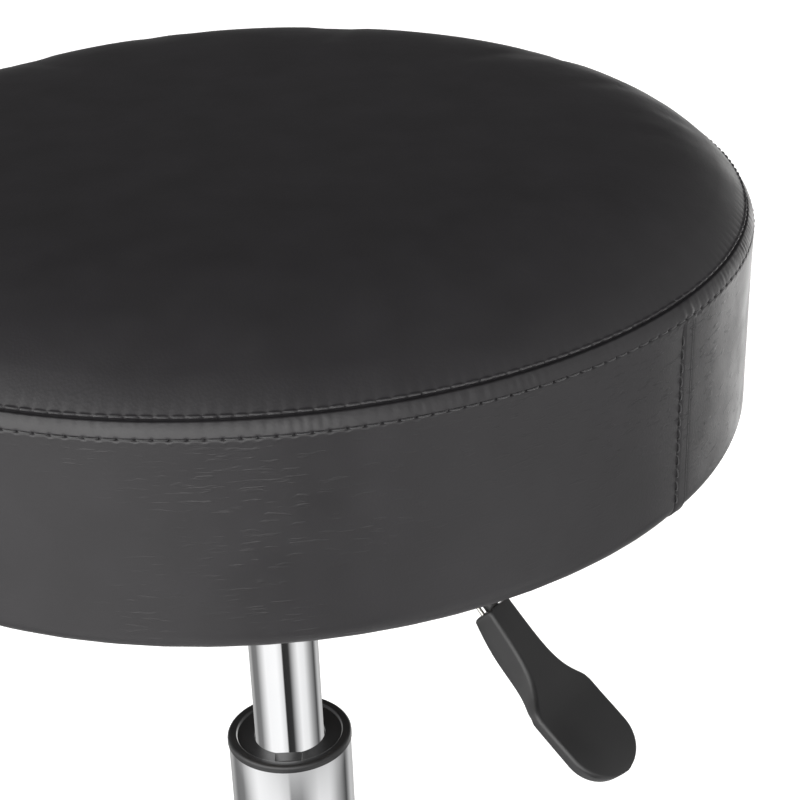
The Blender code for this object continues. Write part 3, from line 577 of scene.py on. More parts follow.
def simulated_swell():
    """How far the cover stands off its outline once blown up, as rows along it by columns round it."""
    stations = np.concatenate([
        np.linspace(8 * MM, UPPER_ROW, 20),
        np.linspace(UPPER_ROW, LOWER_ROW, 3)[1:],
        np.linspace(LOWER_ROW, EDGE_START, 9)[1:],
        np.linspace(EDGE_START, EDGE_END, 4)[1:],
    ])
    angles = np.arange(SIM_COLUMNS) * math.tau / SIM_COLUMNS
    held = (stations > UPPER_ROW - MM) & (stations < LOWER_ROW + MM)
    held |= stations > (EDGE_START + EDGE_END) / 2
    grid_s, grid_a = np.meshgrid(stations, angles, indexing="ij")
    apart = np.abs(stations[:, None] - stations[held][None, :]).min(1)
    start = -SIM_SLACK * np.clip(apart / SLACK_RUN, 0, 1)[:, None] ** 0.7 * np.ones_like(grid_a)
    uneven = (
        0.35 * MM * waves(grid_a, range(3, 14), 3) * np.exp(-((grid_s - UPPER_ROW) / (30 * MM)) ** 2)
    )
    start = start + uneven
    rings = on_cover(grid_s, grid_a, start)
    rows, columns = rings.shape[:2]
    middle = [(0, 0, CROWN_TOP - SIM_SLACK), (0, 0, UNDERSIDE)]
    points = [tuple(p) for p in rings.reshape(-1, 3)] + middle
    faces = ring_faces(rows, columns, caps=False)
    for j in range(columns):
        k = (j + 1) % columns
        faces.append((j, k, rows * columns))
        faces.append(((rows - 1) * columns + k, (rows - 1) * columns + j, rows * columns + 1))
    mesh = bpy.data.meshes.new("blown")
    mesh.from_pydata(points, [], faces)
    bm = bmesh.new()
    bm.from_mesh(mesh)
    bmesh.ops.recalc_face_normals(bm, faces=bm.faces)
    bm.to_mesh(mesh)
    bm.free()
    blown = bpy.data.objects.new("blown", mesh)
    bpy.context.scene.collection.objects.link(blown)
    pins = blown.vertex_groups.new(name="pins")
    fixed = [i * columns + j for i in np.flatnonzero(held) for j in range(columns)]
    pins.add([int(i) for i in fixed] + [rows * columns + 1], 1.0, "REPLACE")
    cloth = blown.modifiers.new("cloth", "CLOTH")
    settings = cloth.settings
    settings.vertex_group_mass = "pins"
    settings.quality = 6
    settings.mass = 0.4
    settings.tension_stiffness = 40
    settings.compression_stiffness = 40
    settings.shear_stiffness = 15
    settings.bending_stiffness = 4
    settings.use_pressure = True
    settings.uniform_pressure_force = SIM_PRESSURE
    settings.effector_weights.gravity = 0
    cloth.collision_settings.use_collision = False
    scene = bpy.context.scene
    cloth.point_cache.frame_start = 1
    cloth.point_cache.frame_end = SIM_FRAMES
    for number in range(1, SIM_FRAMES + 1):
        scene.frame_set(number)
        bpy.context.view_layer.update()
    evaluated = blown.evaluated_get(bpy.context.evaluated_depsgraph_get())
    flat = np.empty(len(points) * 3, np.float32)
    evaluated.data.vertices.foreach_get("co", flat)
    moved = flat.reshape(-1, 3)[:-2].reshape(rows, columns, 3).astype(float)
    bpy.data.objects.remove(blown)
    scene.frame_set(1)
    place, out = outline_at(stations)
    radial = np.hypot(moved[..., 0], moved[..., 1]) - place[:, None, 0]
    rise = moved[..., 2] - SEAM_HEIGHT - place[:, None, 1]
    stood = radial * out[:, None, 0] + rise * out[:, None, 1]
    swell = np.clip(stood - start, -SIM_CAP, SIM_CAP) + start
    # The outline is already a full cushion's, so each row keeps little of its mean move.
    mean = swell.mean(1, keepdims=True)
    swell = MEAN_KEPT * mean + SPREAD_KEPT * (swell - mean)
    return stations, angles, swell


def read_swell(swell, s, angle):
    """The simulated swell at any place, read smoothly between its rows and columns."""
    stations, angles, values = swell
    columns = len(angles)
    position = np.mod(angle, math.tau) / math.tau * columns
    left = np.floor(position).astype(int) % columns
    share = position - np.floor(position)
    share = share * share * (3 - 2 * share)
    row = np.interp(s, stations, np.arange(len(stations)))
    low = np.minimum(np.floor(row).astype(int), len(stations) - 2)
    up = row - low

    def at(r, c):
        return values[r, c % columns]

    lower = at(low, left) * (1 - share) + at(low, left + 1) * share
    upper = at(low + 1, left) * (1 - share) + at(low + 1, left + 1) * share
    return np.where(s > stations[-1], 0, lower * (1 - up) + upper * up)


def to_hole(angle, count, seed):
    """Distance along a row to its nearest needle hole, and a strength for each stitch."""
    turn = angle * count / math.tau
    index = np.floor(turn).astype(int) % count
    jitter = np.random.default_rng(seed).normal(0, 0.05, count)
    near = turn - np.floor(turn)
    offset = np.where(near < 0.5, jitter[index], jitter[(index + 1) % count])
    near = np.abs(near - np.round(near) - offset)
    pitch = math.tau * SEAT_RADIUS / count
    strength = np.random.default_rng(seed + 1).uniform(0.65, 1.3, count)[index]
    return near * pitch, strength


def bell(x, width):
    return np.exp(-((x / width) ** 2))


def seam_relief(s, angle):
    """Lips, grooves, needle holes and puckers of the two rows of stitches, in metres."""
    d = (s - UPPER_ROW) / MM
    hole, strength = to_hole(angle, STITCHES_UPPER, 11)
    hole = hole / MM
    between = 1 - bell(hole, 0.55)
    relief = 0.42 * strength * between * bell(d + 0.62, 0.40)
    relief -= 1.05 * bell(d - 0.28, 0.34)
    relief -= 0.55 * bell(hole, 0.42) * bell(d + 0.35, 0.5)
    top_side = np.where(d < -0.9, np.exp((d + 0.9) / 2.4), 0) + np.where(abs(d) <= 0.9, 0.4, 0)
    relief -= 0.17 * strength * bell(hole, 1.0) * top_side
    strip_side = np.where(d > 0.7, np.exp(-(d - 0.7) / 1.3), 0)
    relief -= 0.13 * strength * bell(hole, 1.0) * strip_side

    e = (s - LOWER_ROW) / MM
    hole, strength = to_hole(angle, STITCHES_LOWER, 21)
    hole = hole / MM
    relief -= 0.42 * bell(e, 0.30)
    relief -= 0.62 * bell(hole, 0.50) * bell(e, 0.55)
    relief += 0.20 * strength * bell(hole, 0.85) * bell(e - 1.15, 0.5)
    side = np.exp(-np.abs(e) / 2.0)
    relief -= 0.10 * strength * bell(hole, 1.1) * side * (np.abs(e) > 0.6)
    strip = (d > 0.5) & (e < -0.5)
    small = waves(angle, range(150, 420, 17), 5) * waves(angle, range(20, 60, 7), 6)
    relief += np.where(strip, 0.07 * small * np.sin(np.clip(d / 6, 0, 1) * math.pi), 0)
    return relief * MM


def band_relief(s, angle):
    """The lapped seam that closes the side band."""
    turn = np.mod(angle - BAND_SEAM_AZIMUTH + math.pi, math.tau) - math.pi
    across = turn * SEAT_RADIUS / MM
    below = (s - LOWER_ROW) / MM
    lap = BAND_LAP / MM
    pitch = BAND_STITCH / MM
    hole = np.abs(below / pitch - np.round(below / pitch)) * pitch
    fade = smooth(below, 0.5, 2.5)
    relief = -0.50 * bell(across, 0.34)
    relief -= 0.50 * bell(hole, 0.55) * bell(across, 0.5)
    relief -= 0.12 * bell(hole, 1.2) * np.exp(-np.abs(across) / 1.6)
    relief += 0.42 * smooth(across, 0.2, 1.3) * (1 - smooth(across, lap - 0.15, lap + 0.45))
    relief += 0.14 * bell(across - lap + 0.25, 0.3)
    relief -= 0.10 * bell(across - lap - 0.9, 0.7)
    relief -= 0.25 * np.exp(-np.abs(across) / 9.0)
    strip = (
        smooth(s / MM, UPPER_ROW / MM + 0.6, UPPER_ROW / MM + 2) * (1 - smooth(below, -1.5, 0.0))
    )
    relief = (
        relief * fade + 0.30 * strip * bell(across - 3.0, 4.5) * (1 + 0.5 * np.cos(across * 1.3))
    )
    relief -= 0.35 * bell(below - 0.9, 0.5) * bell(across - 8.5, 1.6)
    return relief * MM


def wrap_relief(s, angle):
    """Pleats where the cover is drawn in under the board."""
    depth = smooth(s, EDGE_START + 4 * MM, EDGE_END + 6 * MM)
    pleat = np.abs(np.sin(angle * 36 + 0.6 * waves(angle, range(3, 12), 8)))
    return 0.45 * MM * depth * (pleat**3 - 0.5)


def cushion_columns():
    """Angles round the cover, with those that coarse rows of the top and of the side keep."""
    count = STITCHES_UPPER * FINE_PER_STITCH
    base = np.arange(count) * math.tau / count
    keep_top = np.arange(count) % COARSE_EVERY == 0
    gap = np.mod(base - BAND_SEAM_AZIMUTH + math.pi, math.tau) - math.pi
    across = gap * SEAT_RADIUS
    window = (across > -2.0 * MM) & (across < BAND_LAP + 2.0 * MM)
    extra = (
        np.arange(-2.0 * MM, BAND_LAP + 2.0 * MM, 0.22 * MM) / SEAT_RADIUS + BAND_SEAM_AZIMUTH
    )
    extra = np.mod(extra, math.tau)
    near = np.abs(extra[:, None] - base[window & keep_top][None, :]).min(1)
    extra = extra[near > 0.08 * MM / SEAT_RADIUS]
    stay = ~window | keep_top
    angles = np.concatenate([base[stay], extra])
    top = np.concatenate([keep_top[stay], np.zeros(len(extra), bool)])
    side = np.concatenate([(keep_top | window)[stay], np.ones(len(extra), bool)])
    order = np.argsort(angles)
    return angles[order], top[order], side[order]


def cushion_rows():
    """Distances along the cover, each with the set of columns that its ring keeps."""
    rows = [(s, "top") for s in np.linspace(4 * MM, UPPER_ROW - 14 * MM, 26)]
    rows += [(s, "top") for s in np.linspace(UPPER_ROW - 14 * MM, UPPER_ROW - 7 * MM, 5)[1:]]
    fine = list(np.linspace(UPPER_ROW - 6 * MM, UPPER_ROW - 2 * MM, 6))
    fine += list(np.arange(UPPER_ROW - 1.6 * MM, UPPER_ROW + 1.3 * MM, 0.2 * MM))
    fine += list(np.linspace(UPPER_ROW + 1.6 * MM, LOWER_ROW - 1.4 * MM, 6))
    fine += list(np.arange(LOWER_ROW - 1.1 * MM, LOWER_ROW + 1.9 * MM, 0.22 * MM))
    fine += list(np.linspace(LOWER_ROW + 2.3 * MM, LOWER_ROW + 7 * MM, 6))
    rows += [(s, "all") for s in fine]
    rows += [(s, "side") for s in np.arange(LOWER_ROW + 8 * MM, EDGE_START, 0.75 * MM)]
    rows += [(s, "side") for s in np.linspace(EDGE_START, EDGE_END, 14)]
    rows += [(s, "side") for s in np.linspace(EDGE_END, ALONG[-1], 9)[1:]]
    return rows


def bridge(lower, upper, faces):
    """Faces between two rings of (column, point number), one ring's columns being among the other's."""
    flip = len(lower) < len(upper)
    fine, coarse = (upper, lower) if flip else (lower, upper)
    position = {column: i for i, (column, _) in enumerate(fine)}
    for j, (column, number) in enumerate(coarse):
        following, next_number = coarse[(j + 1) % len(coarse)]
        first, last = position[column], position[following]
        span = (last - first) % len(fine)
        run = [fine[(first + i) % len(fine)][1] for i in range(span + 1)]
        middle = (span + 1) // 2
        made = [(run[i], run[i + 1], number) for i in range(middle)] if span > 1 else []
        if span > 1:
            made.append((run[middle], next_number, number))
            made += [(run[i], run[i + 1], next_number) for i in range(middle, span)]
        else:
            made.append((run[0], run[1], next_number, number))
        faces += [face[::-1] for face in made] if flip else made


def seat_cushion():
    """The stitched cover over its foam, as one closed form with a pocket for the board."""
    swell = simulated_swell()
    angles, top, side = cushion_columns()
    sets = {
        "top": np.flatnonzero(top), "side": np.flatnonzero(side), "all": np.arange(len(angles))
    }
    points, rings = [], []

    def add_ring(columns, ring):
        start = len(points)
        points.extend(map(tuple, ring))
        rings.append([(int(c), start + i) for i, c in enumerate(columns)])

    for s, kind in cushion_rows():
        columns = sets[kind]
        angle = angles[columns]
        place = np.full(len(angle), s)
        lift = read_swell(swell, place, angle) + wrap_relief(place, angle)
        lift += band_relief(place, angle)
        lift += seam_relief(place, angle)
        add_ring(columns, on_cover(place, angle, lift))
    board_low, board_high = heights_of("seat_board")
    board_radius = reach_of("seat_board") + 0.3 * MM
    wrap_radius = OUTLINE[-1, 0]
    inside = [
        (wrap_radius, board_low - 0.2 * MM),
        (board_radius, board_low - 0.2 * MM),
        (board_radius, board_high + 0.3 * MM),
        (board_radius / 2, board_high + 0.3 * MM),
    ]
    angle = angles[sets["top"]]
    for radius, height in inside:
        flat = np.stack(
            [radius * np.cos(angle), radius * np.sin(angle), np.full(len(angle), height)], 1
        )
        add_ring(sets["top"], flat)
    faces = []
    for lower, upper in zip(rings, rings[1:]):
        bridge(lower, upper, faces)
    tips = [(rings[0], (0, 0, CROWN_TOP + read_swell(swell, np.array([8 * MM]), np.array([0.0]))[0]))]
    tips.append((rings[-1], (0, 0, board_high + 0.3 * MM)))
    for ring, tip in tips:
        points.append(tip)
        for i in range(len(ring)):
            faces.append((ring[i][1], ring[(i + 1) % len(ring)][1], len(points) - 1))
    mesh = new_mesh("seat_cushion", points, faces, merge=1e-8)
    nodes = ["seat_top_panel", "seat_side_band", "seat_foam"]
    cushion = piece("seat_cushion", mesh, LEATHER, "seat", nodes, sharp=75)


def stitch_rings(start, end, place, radius=0.24 * MM):
    """One stitch between two needle holes: it comes up, lies along the seam and goes down again."""
    shares = np.linspace(0, 1, 9)
    path = [place(start + (end - start) * t, math.sin(math.pi * t) ** 0.4 if 0 < t < 1 else 0) for t in shares]
    sag = [0.8, 0.95, 1, 1, 1, 1, 1, 0.95, 0.8]
    return tube_rings(path, [radius * k for k in sag], 7)


def row_stitches(name, along, count, seed, share, high, radius):
    """A row of stitches round the seat."""
    draw = np.random.default_rng(seed)
    step = math.tau / count
    solids = []
    for k in range(count):
        lean = draw.normal(0, 0.06 * MM)
        lift = high + draw.normal(0, 0.03 * MM)

        def place(angle, rise, lean=lean, lift=lift):
            s = np.array([along + lean * (rise - 0.5)])
            height = -0.75 * MM + (lift + 0.75 * MM) * rise
            return Vector(on_cover(s, np.array([angle]), np.array([height]))[0])

        start = k * step + step * (1 - share) / 2
        solids.append(stitch_rings(start, start + step * share, place, radius))
    piece(name, gathered(name, solids), THREAD, "seat")


def band_stitches():
    """The upright row of stitches on the side band's lap."""
    solids = []
    length = EDGE_START + 5 * MM - LOWER_ROW
    draw = np.random.default_rng(31)
    for k in range(1, int(length / BAND_STITCH)):
        lean = draw.normal(0.0006, 0.0003)

        def place(s, rise, lean=lean, k=k):
            middle = LOWER_ROW + (k + 0.5) * BAND_STITCH
            angle = BAND_SEAM_AZIMUTH + lean * (s - middle) / BAND_STITCH
            height = -0.9 * MM + 1.0 * MM * rise
            return Vector(on_cover(np.array([s]), np.array([angle]), np.array([height]))[0])

        start = LOWER_ROW + k * BAND_STITCH + 0.35 * MM
        solids.append(stitch_rings(start, start + BAND_STITCH - 0.7 * MM, place, 0.22 * MM))
    piece("band_stitches", gathered("band_stitches", solids), THREAD, "seat")


seat_cushion()
row_stitches(
    "upper_stitches", UPPER_ROW - 0.45 * MM, STITCHES_UPPER, 41, 0.86, 0.20 * MM, 0.25 * MM
)
row_stitches("lower_stitches", LOWER_ROW, STITCHES_LOWER, 42, 0.80, -0.16 * MM, 0.24 * MM)
band_stitches()


# Column, gas spring and collar

def gas_spring():
    """The chromed outer cylinder with a rolled lower edge."""
    points = points_of("gas_cylinder")
    radius = np.hypot(points[:, 0], points[:, 1])
    low, high = points[:, 2].min(), points[:, 2].max()
    outer = radius[points[:, 2] < (low + high) / 2].max()
    inner = radius.min()
    shoulder = points[radius > outer - 0.1 * MM][:, 2].max()
    head = radius[points[:, 2] > high - 0.1 * MM].max()
    corners = [
        (inner, low, 0.2 * MM),
        (outer - 1.2 * MM, low, 0.8 * MM),
        (outer, low + 1.6 * MM, 1.2 * MM),
        (outer, float(shoulder), 1.0 * MM),
        (float(head), high, 0.2 * MM),
        (inner, high, 0.2 * MM),
    ]
    mesh = turned("cylinder", corners, 128)
    piece("chromed_cylinder", mesh, CHROME, "seat", ["gas_cylinder"])


COLLAR_DISH = 1.4 * MM
RIM_WIDTH = 3.6 * MM
KEY_AZIMUTH = math.radians(-94)
KEY_SINK = 0.4 * MM
KEY_RISE = 0.9 * MM


def column_and_collar():
    """The outer tube, and the moulded collar on it: a low dish inside a rounded rim, with a rib."""
    column = points_of("column_tube")
    radius = np.hypot(column[:, 0], column[:, 1])
    low, high = column[:, 2].min(), column[:, 2].max()
    outer, inner = radius.max(), radius.min()
    corners = [
        (inner, low, 0.3 * MM),
        (outer, low, 0.8 * MM),
        (outer, high, 0.1 * MM),
        (inner, high, 0.1 * MM),
    ]
    mesh = turned("column", corners, 128)
    tube = piece("column_outer_tube", mesh, CHROME, "base", ["column_tube"])

    collar = points_of("column_collar")
    radius = np.hypot(collar[:, 0], collar[:, 1])
    foot, top = collar[:, 2].min(), collar[:, 2].max()
    bore, rim = radius.min(), radius.max()
    floor = top - COLLAR_DISH
    corners = [
        (rim - RIM_WIDTH, top, 0.5 * MM),
        (rim, top, 1.6 * MM),
        (rim, high + 0.05 * MM, 0.3 * MM),
        (inner - 0.3 * MM, high + 0.05 * MM, 0.1 * MM),
        (inner - 0.3 * MM, foot, 0.3 * MM),
        (bore, foot, 0.2 * MM),
        (bore, floor, 0.4 * MM),
        (rim - RIM_WIDTH - 0.5 * MM, floor, 0.4 * MM),
    ]
    mesh = turned("collar", corners, 128, 5)
    ring = piece("collar_ring", mesh, PLASTIC, "base", ["column_collar"])
    facing = Vector((math.cos(KEY_AZIMUTH), math.sin(KEY_AZIMUTH), 0))
    across = UP.cross(facing)
    outline = [(-5.6, 0), (5.6, 0), (5.4, 0.7), (4.9, 1.0), (-4.9, 1.0), (-5.4, 0.7)]
    first, last = bore + 0.2 * MM, rim - RIM_WIDTH - 1.0 * MM
    rings = []
    for distance, share in (
        (first, 0.5), (first + 0.4 * MM, 1.0), (last - 0.3 * MM, 1.0), (last, 0.6)
    ):
        row = [
            (x * MM, floor - KEY_SINK + (KEY_SINK + KEY_RISE * share) * z) for x, z in outline
        ]
        rings.append([facing * float(distance) + across * x + UP * float(z) for x, z in row])
    mesh = gathered("collar_key", [rings])
    key = piece("collar_key", mesh, PLASTIC, "base")
    for made in (tube, ring, key):
        made.visible_glossy = False


# Plate, bracket, bolts and lever


def mounting():
    """The welded steel under the board: plate, bracket and socket, with its bolts."""
    rounded_copy("plate_look", "mounting_plate", BLACK_STEEL, "seat", 0.5 * MM)
    rounded_copy("bracket_look", "lift_bracket", BLACK_STEEL, "seat", 0.6 * MM)
    rounded_copy("pivot_pin_look", "lever_pivot_pin", STEEL, "seat", 0.4 * MM)
    rounded_copy("socket_look", "taper_socket", BLACK_STEEL, "seat", 0.5 * MM)
    for n in range(1, 5):
        name = "mount_bolt_%d" % n
        low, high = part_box(name)
        middle = (low + high) / 2
        radius = (high.x - low.x) / 2
        head = low.z
        points = points_of(name)
        reach = np.hypot(points[:, 0] - middle.x, points[:, 1] - middle.y)
        wide = points[reach > radius - 0.3 * MM]
        seat = wide[:, 2].max()
        shank = max(reach[points[:, 2] > high.z - 0.2 * MM].max(), 2 * MM)
        corners = [
            (0.0001 * MM, head + 2.4 * MM, 0),
            (radius * 0.42, head + 2.4 * MM, 0.1 * MM),
            (radius * 0.45, head, 0.3 * MM),
            (radius * 0.88, head, 0.6 * MM),
            (radius, head + 1.0 * MM, 0.5 * MM),
            (radius, seat, 0.2 * MM),
            (shank, seat, 0.1 * MM),
            (shank, high.z, 0.4 * MM),
            (0.0001 * MM, high.z, 0),
        ]
        mesh = turned(name, corners, 36, 3)
        mesh.transform(Matrix.Translation((middle.x, middle.y, 0)))
        piece(name + "_look", mesh, STEEL, "seat", [name])


def hidden_parts():
    """Pieces between the moving parts, as rounded copies."""
    rounded_copy("lever_arm_look", "lever_arm", BLACK_STEEL, "lever", 0.5 * MM)
    rounded_copy("button_look", "release_button", STEEL, "button", 0.3 * MM)
    rounded_copy("gland_look", "cylinder_gland", PLASTIC, "seat", 0.3 * MM)
    rounded_copy("piston_look", "piston_rod", CHROME, "spindle", 0.3 * MM)
    rounded_copy("race_upper_look", "bearing_race_upper", STEEL, "spindle", 0.2 * MM)
    rounded_copy("bump_stop_look", "bump_stop", RUBBER, "spindle", 0.6 * MM)
    rounded_copy("clip_look", "rod_clip", STEEL, "spindle", 0.2 * MM)
    sleeve = rounded_copy(
        "sleeve_look", "guide_sleeve", PLASTIC, "base", 0.4 * MM
    )
    sleeve.visible_glossy = False
    rounded_copy("race_lower_look", "bearing_race_lower", STEEL, "base", 0.2 * MM)
    rounded_copy("cage_look", "bearing_cage", STEEL, "base", 0.3 * MM)
    rounded_copy("board_look", "seat_board", PLYWOOD, "seat", 0.6 * MM)


ROD_SLOPE = math.radians(46)
BEND_RADIUS = 15 * MM
NECK_HALF_WIDTH = 6.3 * MM
NECK_HEIGHT = 10.4 * MM
NECK_BULGE = 2.5 * MM
NECK_LENGTH = 39 * MM
PADDLE_HALF_WIDTH = 16.5 * MM
PADDLE_STRAIGHT = 21 * MM
PADDLE_TIP = 14 * MM
PADDLE_THICKNESS = 5.5 * MM
PADDLE_LIFT = math.radians(8)
GRIP_EDGE = 1.8 * MM


def section(half_width, height, edge, steps=5):
    """A rectangle with rounded corners as (across, up) points, centred."""
    edge = min(edge, 0.45 * half_width, 0.48 * height)
    ring = []
    for sx, sy, first in ((1, 1, 0), (-1, 1, 90), (-1, -1, 180), (1, -1, 270)):
        for i in range(steps + 1):
            a = math.radians(first + 90 * i / steps)
            x = sx * (half_width - edge) + edge * math.cos(a)
            ring.append((x, sy * (height / 2 - edge) + edge * math.sin(a)))
    return ring


NECK_STEPS = 33
STRAIGHT_STEPS = 9
TIP_STEPS = 28
TIP_TURN = math.radians(88.5)


def grip_stations():
    """(distance, half width, height, corner radius) along the handle."""
    rows = [(0, NECK_HALF_WIDTH - 0.9 * MM, NECK_HEIGHT - 1.8 * MM, 1.2 * MM)]
    rows.append((0.3 * MM, NECK_HALF_WIDTH - 0.3 * MM, NECK_HEIGHT - 0.6 * MM, 1.6 * MM))
    rows.append((0.9 * MM, NECK_HALF_WIDTH, NECK_HEIGHT, GRIP_EDGE))
    for i in range(1, NECK_STEPS + 1):
        s = i / NECK_STEPS
        x = 0.9 * MM + s * (NECK_LENGTH - 0.9 * MM)
        half = (
            NECK_HALF_WIDTH + (PADDLE_HALF_WIDTH - NECK_HALF_WIDTH) * (0.16 * s + 0.84 * s**5)
        )
        height = NECK_HEIGHT + (PADDLE_THICKNESS - NECK_HEIGHT) * s**2.5
        height += NECK_BULGE * math.sin(math.pi * s)
        rows.append((x, half, height, GRIP_EDGE))
    straight_end = NECK_LENGTH + PADDLE_STRAIGHT
    for i in range(1, STRAIGHT_STEPS + 1):
        rows.append((NECK_LENGTH + PADDLE_STRAIGHT * i / STRAIGHT_STEPS, PADDLE_HALF_WIDTH, PADDLE_THICKNESS, GRIP_EDGE))
    widths = np.array([row[1] for row in rows])
    places = np.array([row[0] for row in rows])
    for k in range(3, len(rows)):
        near = bell((places - places[k]) / MM, 2.2)
        near[:3] = 0
        blend = smooth(places[k], 6 * MM, 20 * MM)
        wide = widths[k] * (1 - blend) + blend * float((near * widths).sum() / near.sum())
        rows[k] = (rows[k][0], wide, rows[k][2], rows[k][3])
    for i in range(1, TIP_STEPS + 1):
        a = TIP_TURN * i / TIP_STEPS
        x = straight_end + PADDLE_TIP * math.sin(a)
        drop = 1.6 * MM * smooth(i, 24, TIP_STEPS)
        half = max(PADDLE_HALF_WIDTH * math.cos(a), 0.6 * MM)
        rows.append((x, half, PADDLE_THICKNESS - drop, GRIP_EDGE))
    return rows


# Lever: the rod, the wire and the moulded handle

DOWN = (LEVER_OUT * math.cos(ROD_SLOPE) - UP * math.sin(ROD_SLOPE)).normalized()
ABOVE = (LEVER_OUT * math.sin(ROD_SLOPE) + UP * math.cos(ROD_SLOPE)).normalized()


def lever_place(along, across, above):
    return LEVER_PIN + DOWN * float(along) + LEVER_ACROSS * float(across) + ABOVE * float(above)


def seen_from_pin(node):
    """A node's points as distances down the rod, across it and above it, from the lever's pin."""
    points = points_of(node) - np.array(LEVER_PIN)
    return points @ np.array([DOWN, LEVER_ACROSS, ABOVE], float).T


def lever_rod():
    """The bent round rod."""
    seen = seen_from_pin("lever_rod")
    last = seen[seen[:, 0] > seen[:, 0].max() - MM]
    radius = (last[:, 2].max() - last[:, 2].min()) / 2
    end = lever_place(seen[:, 0].max(), 0, (last[:, 2].max() + last[:, 2].min()) / 2)
    rise = float(LEVER_PIN.z - end.z)
    corner = end - DOWN * (rise / math.sin(ROD_SLOPE))
    outward = (points_of("lever_rod") - np.array(LEVER_PIN)) @ np.array(LEVER_OUT)
    start = LEVER_PIN + LEVER_OUT * float(outward.min())
    tangent = BEND_RADIUS * math.tan(ROD_SLOPE / 2)
    centre = corner - LEVER_OUT * tangent - UP * BEND_RADIUS
    path = [start, start + LEVER_OUT * 0.4 * MM, corner - LEVER_OUT * (tangent + MM)]
    for i in range(15):
        a = ROD_SLOPE * i / 14
        path.append(centre + BEND_RADIUS * (LEVER_OUT * math.sin(a) + UP * math.cos(a)))
    path += [end - DOWN * MM, end]
    radii = [radius * 0.88] + [radius] * (len(path) - 2) + [radius * 0.85]
    mesh = skinned("rod", tube_rings(path, radii, 28))
    piece("bent_rod", mesh, BLACK_STEEL, "lever", ["lever_rod"])


def lever_wire():
    """The thin spring wire under the rod, hooked at its free end."""
    seen = seen_from_pin("lever_wire")
    far = seen[seen[:, 0] > seen[:, 0].max() - 0.5 * MM]
    across, above = far[:, 1].mean(), far[:, 2].mean()
    radius = 0.8 * MM
    low, high = seen[:, 0].min() + radius, seen[:, 0].max()
    hook = seen[:, 2].min() + radius
    wide = seen[:, 1].max() - radius
    path = [
        (low, wide, hook),
        (low, across + 1.2 * MM, hook),
        (low + 0.2 * MM, across, hook + 0.5 * MM),
    ]
    path += [(low + 2.2 * MM, across, above - 0.9 * MM), (low + 3.4 * MM, across, above)]
    path += [(high - MM, across, above), (high, across, above)]
    mesh = skinned("wire", tube_rings([lever_place(*p) for p in path], radius, 12))
    piece("spring_wire", mesh, STEEL, "lever", ["lever_wire"])


def lever_handle():
    """The handle: a squared neck with a flat top that swells underneath and spreads into a paddle."""
    seen = seen_from_pin("lever_grip")
    start = seen[:, 0].min()
    top = seen[seen[:, 0] < start + 0.5 * MM][:, 2].max()
    rings = []
    x, z, previous = 0.0, 0.0, 0.0
    for along, half, height, edge in grip_stations():
        slope = PADDLE_LIFT * smooth(along, NECK_LENGTH - 3 * MM, NECK_LENGTH + 3 * MM)
        x += (along - previous) * math.cos(slope)
        z += (along - previous) * math.sin(slope)
        previous = along
        sink = 0.35 * MM * bell((along - NECK_LENGTH - 6 * MM) / MM, 9.0)
        crown = 0.25 * MM * (along > NECK_LENGTH)
        ring = []
        for across, up in section(half, height, edge):
            dome = crown * (1 - (across / max(half, MM)) ** 2) * (1 if up > 0 else -1)
            level = z + up - height / 2 - sink * (up > 0) + dome - crown
            ring.append(lever_place(start + x, across, top + level))
        rings.append(ring)
    mesh = skinned("handle", rings)
    rod = seen_from_pin("lever_rod")
    rod_far = rod[rod[:, 0] > rod[:, 0].max() - MM]
    middle = (rod_far[:, 2].max() + rod_far[:, 2].min()) / 2
    bore_radius = (rod_far[:, 2].max() - rod_far[:, 2].min()) / 2 + 0.3 * MM
    bore_path = [
        lever_place(start - 2 * MM, 0, middle),
        lever_place(rod[:, 0].max() + 0.4 * MM, 0, middle),
    ]
    mesh = combined(mesh, skinned("bore", tube_rings(bore_path, bore_radius, 28)))
    wire = seen_from_pin("lever_wire")
    wire_far = wire[wire[:, 0] > wire[:, 0].max() - 0.5 * MM]
    across, above = wire_far[:, 1].mean(), wire_far[:, 2].mean()
    bore_path = [lever_place(start - 2 * MM, across, above)]
    bore_path.append(lever_place(wire[:, 0].max() + 0.4 * MM, across, above))
    mesh = combined(mesh, skinned("wire_bore", tube_rings(bore_path, 1.1 * MM, 16)))
    mesh.materials.clear()
    piece("lever_handle", mesh, PLASTIC, "lever", ["lever_grip"], sharp=50)


# Base: hub and arms

BASE_RADIUS = 262 * MM
ARM_INTO_HUB = 8 * MM
ARM_ROOT = (15.0 * MM, 37 * MM)
ARM_END = (11.5 * MM, 24 * MM)
BOSS_RADIUS = 13.5 * MM
STEM_HOLE = 5.8 * MM
CHANNEL_DEPTH = 5 * MM


